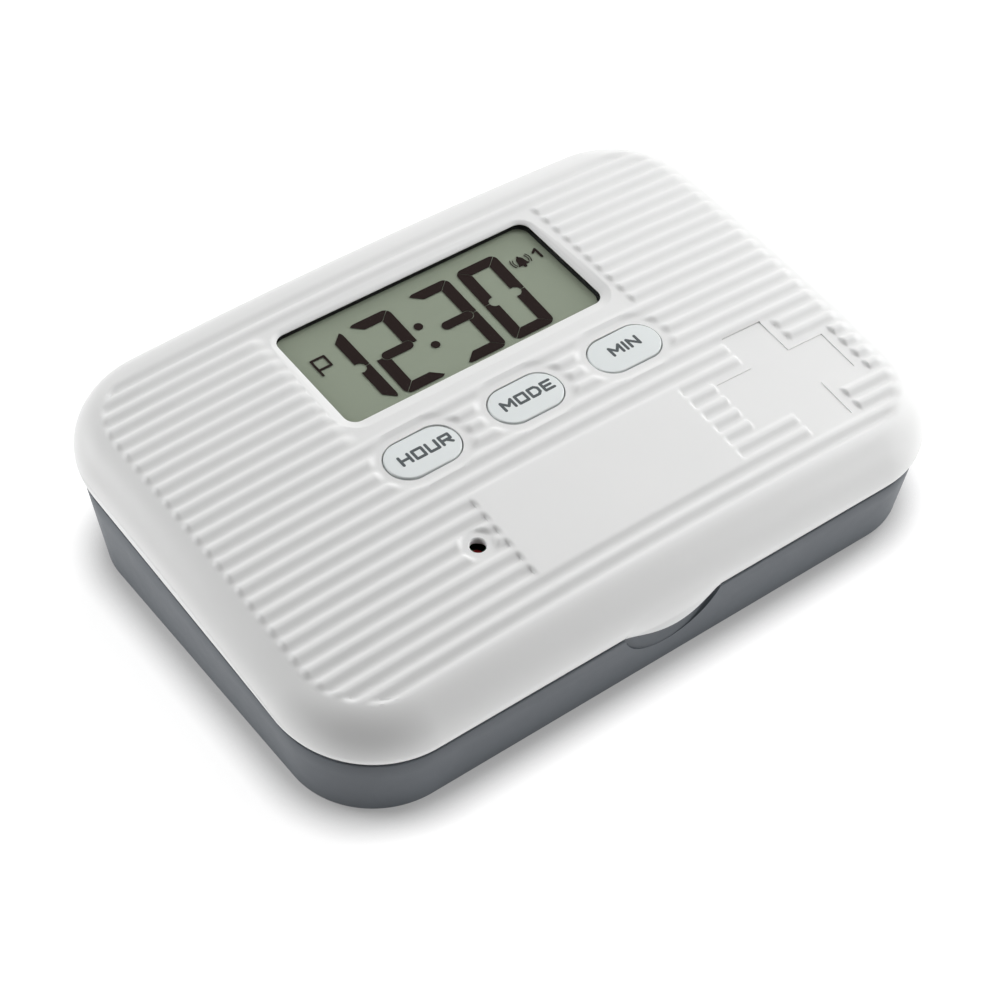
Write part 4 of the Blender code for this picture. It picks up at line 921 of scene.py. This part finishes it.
def make_buttons(cap_material, ink_material):
    length = BUTTON_HOLE_LENGTH - 2 * BUTTON_CLEARANCE
    depth = BUTTON_HOLE_DEPTH - 2 * BUTTON_CLEARANCE
    low = -LID_WALL - BUTTON_FLANGE_DROP
    high = low + BUTTON_FLANGE_THICKNESS
    levels = [(-BUTTON_STEM_INSET, low - BUTTON_STEM_DROP), (-BUTTON_STEM_INSET, low),
              (BUTTON_FLANGE_LAP, low), (BUTTON_FLANGE_LAP, high), (0.0, high),
              (0.0, BUTTON_PROUD - BUTTON_ROUND)]
    for step in range(1, 9):
        angle = math.pi / 2 * step / 8
        inset = BUTTON_ROUND * (1 - math.cos(angle))
        levels.append((-inset, BUTTON_PROUD - BUTTON_ROUND * (1 - math.sin(angle))))
    rings = [at_height(rounded_outline(length + 2 * out, depth + 2 * out, depth / 2 + out, 24), z)
             for out, z in levels]
    for (name, word, (word_x, word_y)), x in zip(BUTTON_WORDS, BUTTON_XS):
        place = DECK @ Matrix.Translation(top_on_deck(x, BUTTON_Y))
        cap = loft(f"{name}_button_cap", rings, place)
        dress(cap, cap_material, f"{name}_button_body")
        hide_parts(f"{name}_button")
        text = lettering(f"{name}_button_word", word)
        text.data.transform(place @ Matrix.Translation((word_x, word_y, BUTTON_PROUD)))
        dress(text, ink_material, f"{name}_button_body")


# Plain stroke letters, one unit wide and high
LETTERS = {
    "H": [[(0, 0), (0, 1)], [(1, 0), (1, 1)], [(0, 0.5), (1, 0.5)]],
    "O": [[(0, 0), (1, 0), (1, 1), (0, 1), (0, 0)]],
    "U": [[(0, 1), (0, 0), (1, 0), (1, 1)]],
    "R": [[(0, 0), (0, 1), (1, 1), (1, 0.45), (0, 0.45)], [(0.5, 0.45), (1, 0)]],
    "M": [[(0, 0), (0, 1), (0.5, 0.35), (1, 1), (1, 0)]],
    "D": [[(0, 0), (0.72, 0), (1, 0.25), (1, 0.75), (0.72, 1), (0, 1), (0, 0)]],
    "E": [[(1, 0), (0, 0), (0, 1), (1, 1)], [(0, 0.5), (0.85, 0.5)]],
    "I": [[(0.5, 0), (0.5, 1)]],
    "N": [[(0, 0), (0, 1), (1, 0), (1, 1)]],
    "P": [[(0, 0), (0, 1), (1, 1), (1, 0.36), (0, 0.36)]],
    "1": [[(0.1, 0.72), (0.6, 1), (0.6, 0)]],
}


def bar(name, start, end, width, low, high, place=None, steps=6):
    """One stroke with round ends."""
    start = Vector(start)
    end = Vector(end)
    along = (end - start).normalized()
    turn = math.atan2(along.y, along.x)
    outline = []
    for middle, first in ((end, -math.pi / 2), (start, math.pi / 2)):
        for step in range(steps + 1):
            angle = turn + first + math.pi * step / steps
            outline.append((middle.x + width / 2 * math.cos(angle), middle.y + width / 2 * math.sin(angle)))
    return prism(name, outline, low, high, place)


def strokes(name, lines, size, origin, width, low, high):
    """One solid of strokes from lines in a unit box."""
    whole = None
    for line in lines:
        for start, end in zip(line, line[1:]):
            a = (origin[0] + start[0] * size[0], origin[1] + start[1] * size[1])
            b = (origin[0] + end[0] * size[0], origin[1] + end[1] * size[1])
            stroke = bar(name, a, b, width, low, high)
            whole = stroke if whole is None else join(whole, stroke)
    return whole


def lettering(name, word):
    """A plain printed word, centred on the origin."""
    spans = [LETTER_WIDTHS.get(letter, LETTER_WIDTH) for letter in word]
    x = -(sum(spans) + LETTER_GAP * (len(word) - 1)) / 2
    whole = None
    for letter, span in zip(word, spans):
        origin = (x if span else x - LETTER_WIDTH / 2, -LETTER_HEIGHT / 2)
        size = (span or LETTER_WIDTH, LETTER_HEIGHT)
        made = strokes(name, LETTERS[letter], size, origin, LETTER_STROKE, -LETTER_THICKNESS,
                       LETTER_THICKNESS)
        whole = made if whole is None else join(whole, made)
        x += span + LETTER_GAP
    whole.name = name
    return whole


# Display

def slanted(points, origin, slant):
    return [(origin[0] + x + slant * y, origin[1] + y) for x, y in points]


def digit_segments(width, height):
    """Outlines of the seven segments of a digit, in a box from the origin."""
    middle = height / 2
    lift = DIGIT_GAP / 2
    hollow = DIGIT_MIDDLE_HALF + DIGIT_GAP
    angles = [math.radians(15 * step) for step in range(7)]
    corner = [(DIGIT_ROUND * (1 - math.cos(a)), height - DIGIT_ROUND * (1 - math.sin(a))) for a in angles]

    def post(end):
        """Upper post at the left, hollowed out round the end of the middle bar."""
        outline = [(x, y - lift) for x, y in corner[:4]]
        outline.append((DIGIT_POST, height - lift - DIGIT_BAR))
        first = math.acos((DIGIT_POST - end) / hollow)
        last = math.pi - math.asin(lift / hollow)
        for step in range(9):
            angle = first + (last - first) * step / 8
            outline.append((end + hollow * math.cos(angle), middle + hollow * math.sin(angle)))
        return outline + [(0, middle + lift)]

    def mirrored(points):
        return [(width - x, y) for x, y in points]

    def turned_down(points):
        return [(x, height - y) for x, y in points]

    left = [(x + lift, y) for x, y in corner[3:]]
    top = left + mirrored(reversed(left))
    top += [(width - lift - DIGIT_POST, height - DIGIT_BAR), (lift + DIGIT_POST, height - DIGIT_BAR)]
    left_end, right_end = DIGIT_MIDDLE_ENDS
    left_post = post(left_end)
    right_post = mirrored(post(right_end))
    middle_bar = []
    for end, first in ((width - right_end, -math.pi / 2), (left_end, math.pi / 2)):
        for step in range(9):
            angle = first + math.pi * step / 8
            x = end + DIGIT_MIDDLE_HALF * math.cos(angle)
            middle_bar.append((x, middle + DIGIT_MIDDLE_HALF * math.sin(angle)))
    return {"a": top, "b": right_post, "c": turned_down(right_post), "d": turned_down(top),
            "e": turned_down(left_post), "f": left_post, "g": middle_bar}


def make_display(glass_material, figure_material):
    """Display of two plates, the upper one inside the gasket, with dark figures just over it."""
    outline = rounded_outline(LCD_LENGTH, LCD_DEPTH, LCD_CORNER, 4)
    back = prism("lcd_back", outline, LCD_BOTTOM, LCD_STEP, window_place())
    outline = rounded_outline(WINDOW_LENGTH + LCD_FRONT_GROWTH, WINDOW_DEPTH + LCD_FRONT_GROWTH, WINDOW_ROUND)
    join(back, prism("lcd_front", outline, LCD_STEP - LCD_JOINT, LCD_MIRROR, window_place()))
    dress(back, glass_material, "lid")
    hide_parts("lcd_panel")
    low = LCD_FIGURES
    high = LCD_FIGURES + FIGURE_THICKNESS
    outlines = []
    for lit, right, bottom, width, height, slant in DIGITS:
        segments = digit_segments(width, height)
        for key in lit:
            outlines.append(slanted(segments[key], (right - width - slant, bottom), slant / height))
    outlines += [circle(COLON_RADIUS, 24, point) for point in COLON_DOTS]
    parts = [prism("figures", outline, low, high, DECK) for outline in outlines]
    for letter, size, origin, stroke in SIGNS:
        sign = strokes("figures", LETTERS[letter], size, origin, stroke, low, high)
        sign.data.transform(DECK)
        parts.append(sign)
    parts += bell_parts(low, high)
    figures = parts[0]
    join(figures, *parts[1:])
    figures.name = "lcd_figures"
    dress(figures, figure_material, "lid")


def bell_parts(low, high):
    """A small bell with sound marks on both sides."""
    cx, cy = BELL_PLACE
    unit = BELL_UNIT
    outline = []
    for step in range(13):
        angle = math.pi * step / 12
        outline.append((cx + 0.8 * unit * math.cos(angle), cy + unit * (0.3 + 0.9 * math.sin(angle))))
    for x, y in ((-1.0, -0.6), (-1.3, -1.0), (1.3, -1.0), (1.0, -0.6)):
        outline.append((cx + unit * x, cy + unit * y))
    parts = [prism("figures", outline, low, high, DECK)]
    parts.append(prism("figures", circle(0.35 * unit, 16, (cx, cy - 1.3 * unit)), low, high, DECK))
    parts.append(prism("figures", circle(0.25 * unit, 16, (cx, cy + 1.3 * unit)), low, high, DECK))
    for side in (-1, 1):
        for reach in (1.6, 2.1):
            last = None
            for step in range(4):
                angle = math.radians(-32 + 64 * step / 3)
                x = cx + side * reach * unit * math.cos(angle)
                point = (x, cy + unit * (0.2 + reach * math.sin(angle)))
                if last is not None:
                    parts.append(bar("figures", last, point, 0.18 * unit, low, high, DECK, 3))
                last = point
    return parts


# Materials

GRAIN_HEIGHT = 0.00005
# Moulded pieces: darker and lighter colour, roughness, grain and its relief, patches, other settings
MOULDED = {
    "white_shell": ((0.84, 0.845, 0.84), (0.87, 0.87, 0.865), (0.40, 0.50), 5200, 0.10, 60),
    "slate_shell": ((0.090, 0.103, 0.119), (0.106, 0.121, 0.139), (0.42, 0.54), 4200, 0.25, 60),
    "cool_white_cap": ((0.80, 0.84, 0.84), (0.83, 0.87, 0.87), (0.34, 0.42), 6000, 0.06, 60),
    "button_ink": ((0.060, 0.075, 0.080), (0.085, 0.100, 0.108), (0.45, 0.60), 9000, 0.15, 60),
    "inner_white": ((0.76, 0.76, 0.75), (0.80, 0.80, 0.79), (0.45, 0.56), 4800, 0.15, 60),
    "black_foam": ((0.012, 0.012, 0.012), (0.030, 0.030, 0.030), (0.85, 0.95), 7000, 0.60, 60),
    "black_plastic": ((0.022, 0.022, 0.023), (0.034, 0.034, 0.035), (0.42, 0.55), 5000, 0.20, 60),
    "grey_rubber": ((0.26, 0.26, 0.27), (0.33, 0.33, 0.34), (0.70, 0.82), 5200, 0.25, 60),
    "green_board": ((0.012, 0.12, 0.05), (0.03, 0.19, 0.08), (0.32, 0.45), 1500, 0.30, 900),
    # The display's glow is painted light: a faint green glow that brightens it in the shade of its recess
    "display": ((0.300, 0.343, 0.264), (0.312, 0.355, 0.276), (0.50, 0.60), 8000, 0.03, 60,
                (("Specular IOR Level", 0.2), ("Emission Color", (0.90, 1.0, 0.72, 1)),
                 ("Emission Strength", DISPLAY_PAINTED_GLOW))),
    "figure": ((0.016, 0.008, 0.007), (0.022, 0.011, 0.010), (0.80, 0.90), 9000, 0.05, 60,
               (("Specular IOR Level", 0.1),)),
    "red_lamp": ((0.32, 0.012, 0.012), (0.42, 0.020, 0.018), (0.10, 0.16), 3000, 0.03, 60,
                 (("Transmission Weight", 0.35),)),
}
METALS = {
    "steel": ((0.52, 0.52, 0.53), (0.68, 0.68, 0.69), (0.24, 0.38)),
    "brass": ((0.70, 0.52, 0.22), (0.82, 0.64, 0.32), (0.26, 0.40)),
}
METAL_GRAIN = 900
METAL_STRETCH = (1, 1, 14)
CLEAR_TINTS = ((0.10, 0.11, 0.10), (0.14, 0.15, 0.14))
CLEAR_ROUGHNESS = (0.04, 0.08)
CLEAR_SETTINGS = (("IOR", 1.49), ("Specular IOR Level", 0.8), ("Alpha", 0.05))


def new_material(name):
    material = bpy.data.materials.new(name)
    material.use_nodes = True
    tree = material.node_tree
    return material, tree, tree.nodes["Principled BSDF"]


def noise(tree, scale, detail, stretch=None):
    """Value of a noise fixed to the piece, with an optional stretch."""
    vector = tree.nodes.new("ShaderNodeTexCoord").outputs["Object"]
    if stretch:
        mapping = tree.nodes.new("ShaderNodeMapping")
        mapping.inputs["Scale"].default_value = stretch
        tree.links.new(vector, mapping.inputs["Vector"])
        vector = mapping.outputs["Vector"]
    texture = tree.nodes.new("ShaderNodeTexNoise")
    texture.inputs["Scale"].default_value = scale
    texture.inputs["Detail"].default_value = detail
    tree.links.new(vector, texture.inputs["Vector"])
    return texture.outputs["Fac"]


def ramp(tree, value, low, high):
    """Turns a value from 0 to 1 into a colour or a number between low and high."""
    if isinstance(low, tuple):
        mix = tree.nodes.new("ShaderNodeMix")
        mix.data_type = "RGBA"
        mix.inputs["A"].default_value = (*low, 1)
        mix.inputs["B"].default_value = (*high, 1)
        tree.links.new(value, mix.inputs["Factor"])
        return mix.outputs["Result"]
    span = tree.nodes.new("ShaderNodeMapRange")
    span.inputs["To Min"].default_value = low
    span.inputs["To Max"].default_value = high
    tree.links.new(value, span.inputs["Value"])
    return span.outputs["Result"]


def moulded(name, dark, light, roughness, grain, relief, patches, settings=()):
    """Moulded plastic or rubber: faint patches of colour, fine grain and uneven gloss."""
    material, tree, shader = new_material(name)
    tree.links.new(ramp(tree, noise(tree, patches, 3), dark, light), shader.inputs["Base Color"])
    tree.links.new(ramp(tree, noise(tree, patches * 6, 4), *roughness), shader.inputs["Roughness"])
    bump = tree.nodes.new("ShaderNodeBump")
    bump.inputs["Strength"].default_value = relief
    bump.inputs["Distance"].default_value = GRAIN_HEIGHT
    tree.links.new(noise(tree, grain, 3), bump.inputs["Height"])
    tree.links.new(bump.outputs["Normal"], shader.inputs["Normal"])
    for key, value in settings:
        shader.inputs[key].default_value = value
    return material


def metal(name, dark, light, roughness):
    """Drawn or turned metal with fine lines."""
    material, tree, shader = new_material(name)
    shader.inputs["Metallic"].default_value = 1.0
    lines = noise(tree, METAL_GRAIN, 4, METAL_STRETCH)
    tree.links.new(ramp(tree, lines, dark, light), shader.inputs["Base Color"])
    tree.links.new(ramp(tree, lines, *roughness), shader.inputs["Roughness"])
    return material


def make_materials():
    made = {name: moulded(name, *look) for name, look in MOULDED.items()}
    made.update({name: metal(name, *look) for name, look in METALS.items()})
    made["clear_window"] = window_material()
    return made


def window_material():
    """Clear plastic that takes no colour of its own and shines a little."""
    material, tree, shader = new_material("clear_window")
    tint = ramp(tree, noise(tree, 200, 2), *CLEAR_TINTS)
    tree.links.new(tint, shader.inputs["Base Color"])
    tree.links.new(ramp(tree, noise(tree, 400, 2), *CLEAR_ROUGHNESS), shader.inputs["Roughness"])
    for key, value in CLEAR_SETTINGS:
        shader.inputs[key].default_value = value
    return material


def dress_nodes(made):
    slots = {entry["node"]: entry["material_slot"] for entry in frame["record"]["subparts"]}
    for name, node in NODES.items():
        node.data.materials.clear()
        node.data.materials.append(made[slots[name]])


# Floor, lights and camera

def make_stage():
    """Pale floor that glows a little, as a lit studio table does, with a painted shadow: less glow where it
    meets the box.
    """
    material, tree, shader = new_material("pale_floor")
    tone = ramp(tree, noise(tree, 3, 2), (FLOOR_TONE,) * 3, (FLOOR_TONE * 1.02,) * 3)
    tree.links.new(tone, shader.inputs["Base Color"])
    tree.links.new(ramp(tree, noise(tree, 40, 2), *FLOOR_ROUGHNESS), shader.inputs["Roughness"])
    shader.inputs["Emission Color"].default_value = (1, 1, 1, 1)
    # Painted shadow: ambient occlusion dims the floor's glow next to the box
    painted_shadow = tree.nodes.new("ShaderNodeAmbientOcclusion")
    painted_shadow.samples = 16
    painted_shadow.inputs["Distance"].default_value = PAINTED_SHADOW_REACH
    glow = ramp(tree, painted_shadow.outputs["AO"], PAINTED_SHADOW_GLOW, FLOOR_GLOW)
    glow.node.inputs["From Min"].default_value = PAINTED_SHADOW_START
    tree.links.new(glow, shader.inputs["Emission Strength"])
    corners = [(x * FLOOR_HALF, y * FLOOR_HALF, 0) for x, y in ((-1, -1), (1, -1), (1, 1), (-1, 1))]
    floor = skin("floor", corners, [(0, 1, 2, 3)])
    floor.data.materials.append(material)


def area_light(name, place, size, power):
    """Round light that faces the middle of the box."""
    data = bpy.data.lights.new(name, "AREA")
    data.shape = "DISK"
    data.size = size
    data.energy = power
    light = bpy.data.objects.new(name, data)
    SCENE.collection.objects.link(light)
    light.location = place
    light.rotation_euler = (-place).to_track_quat("-Z", "Y").to_euler()


def make_lights():
    world = bpy.data.worlds.new("studio")
    SCENE.world = world
    world.use_nodes = True
    background = world.node_tree.nodes["Background"]
    background.inputs["Color"].default_value = (1, 1, 1, 1)
    background.inputs["Strength"].default_value = WORLD_GLOW
    for index, (turn, rise, power, distance) in enumerate(LIGHTS):
        turn = math.radians(turn)
        rise = math.radians(rise)
        place = Vector((math.sin(turn) * math.cos(rise), math.cos(turn) * math.cos(rise), math.sin(rise)))
        area_light(f"light_{index}", place * distance, LIGHT_SIZE * distance, power * distance**2)


def make_camera():
    data = bpy.data.cameras.new("camera")
    data.lens = CAMERA_LENS
    data.sensor_width = CAMERA_SENSOR
    data.clip_start, data.clip_end = CAMERA_CLIP
    camera = bpy.data.objects.new("camera", data)
    SCENE.collection.objects.link(camera)
    turn = (CAMERA_AIM - CAMERA_PLACE).to_track_quat("-Z", "Y").to_matrix().to_4x4()
    camera.matrix_world = Matrix.Translation(CAMERA_PLACE) @ turn @ Matrix.Rotation(CAMERA_ROLL, 4, "Z")
    SCENE.camera = camera


SCENE.view_settings.view_transform = "Standard"
MADE = make_materials()
dress_nodes(MADE)
make_lid(MADE["white_shell"])
make_tray(MADE["slate_shell"])
make_buttons(MADE["cool_white_cap"], MADE["button_ink"])
make_display(MADE["display"], MADE["figure"])
make_stage()
make_lights()
make_camera()
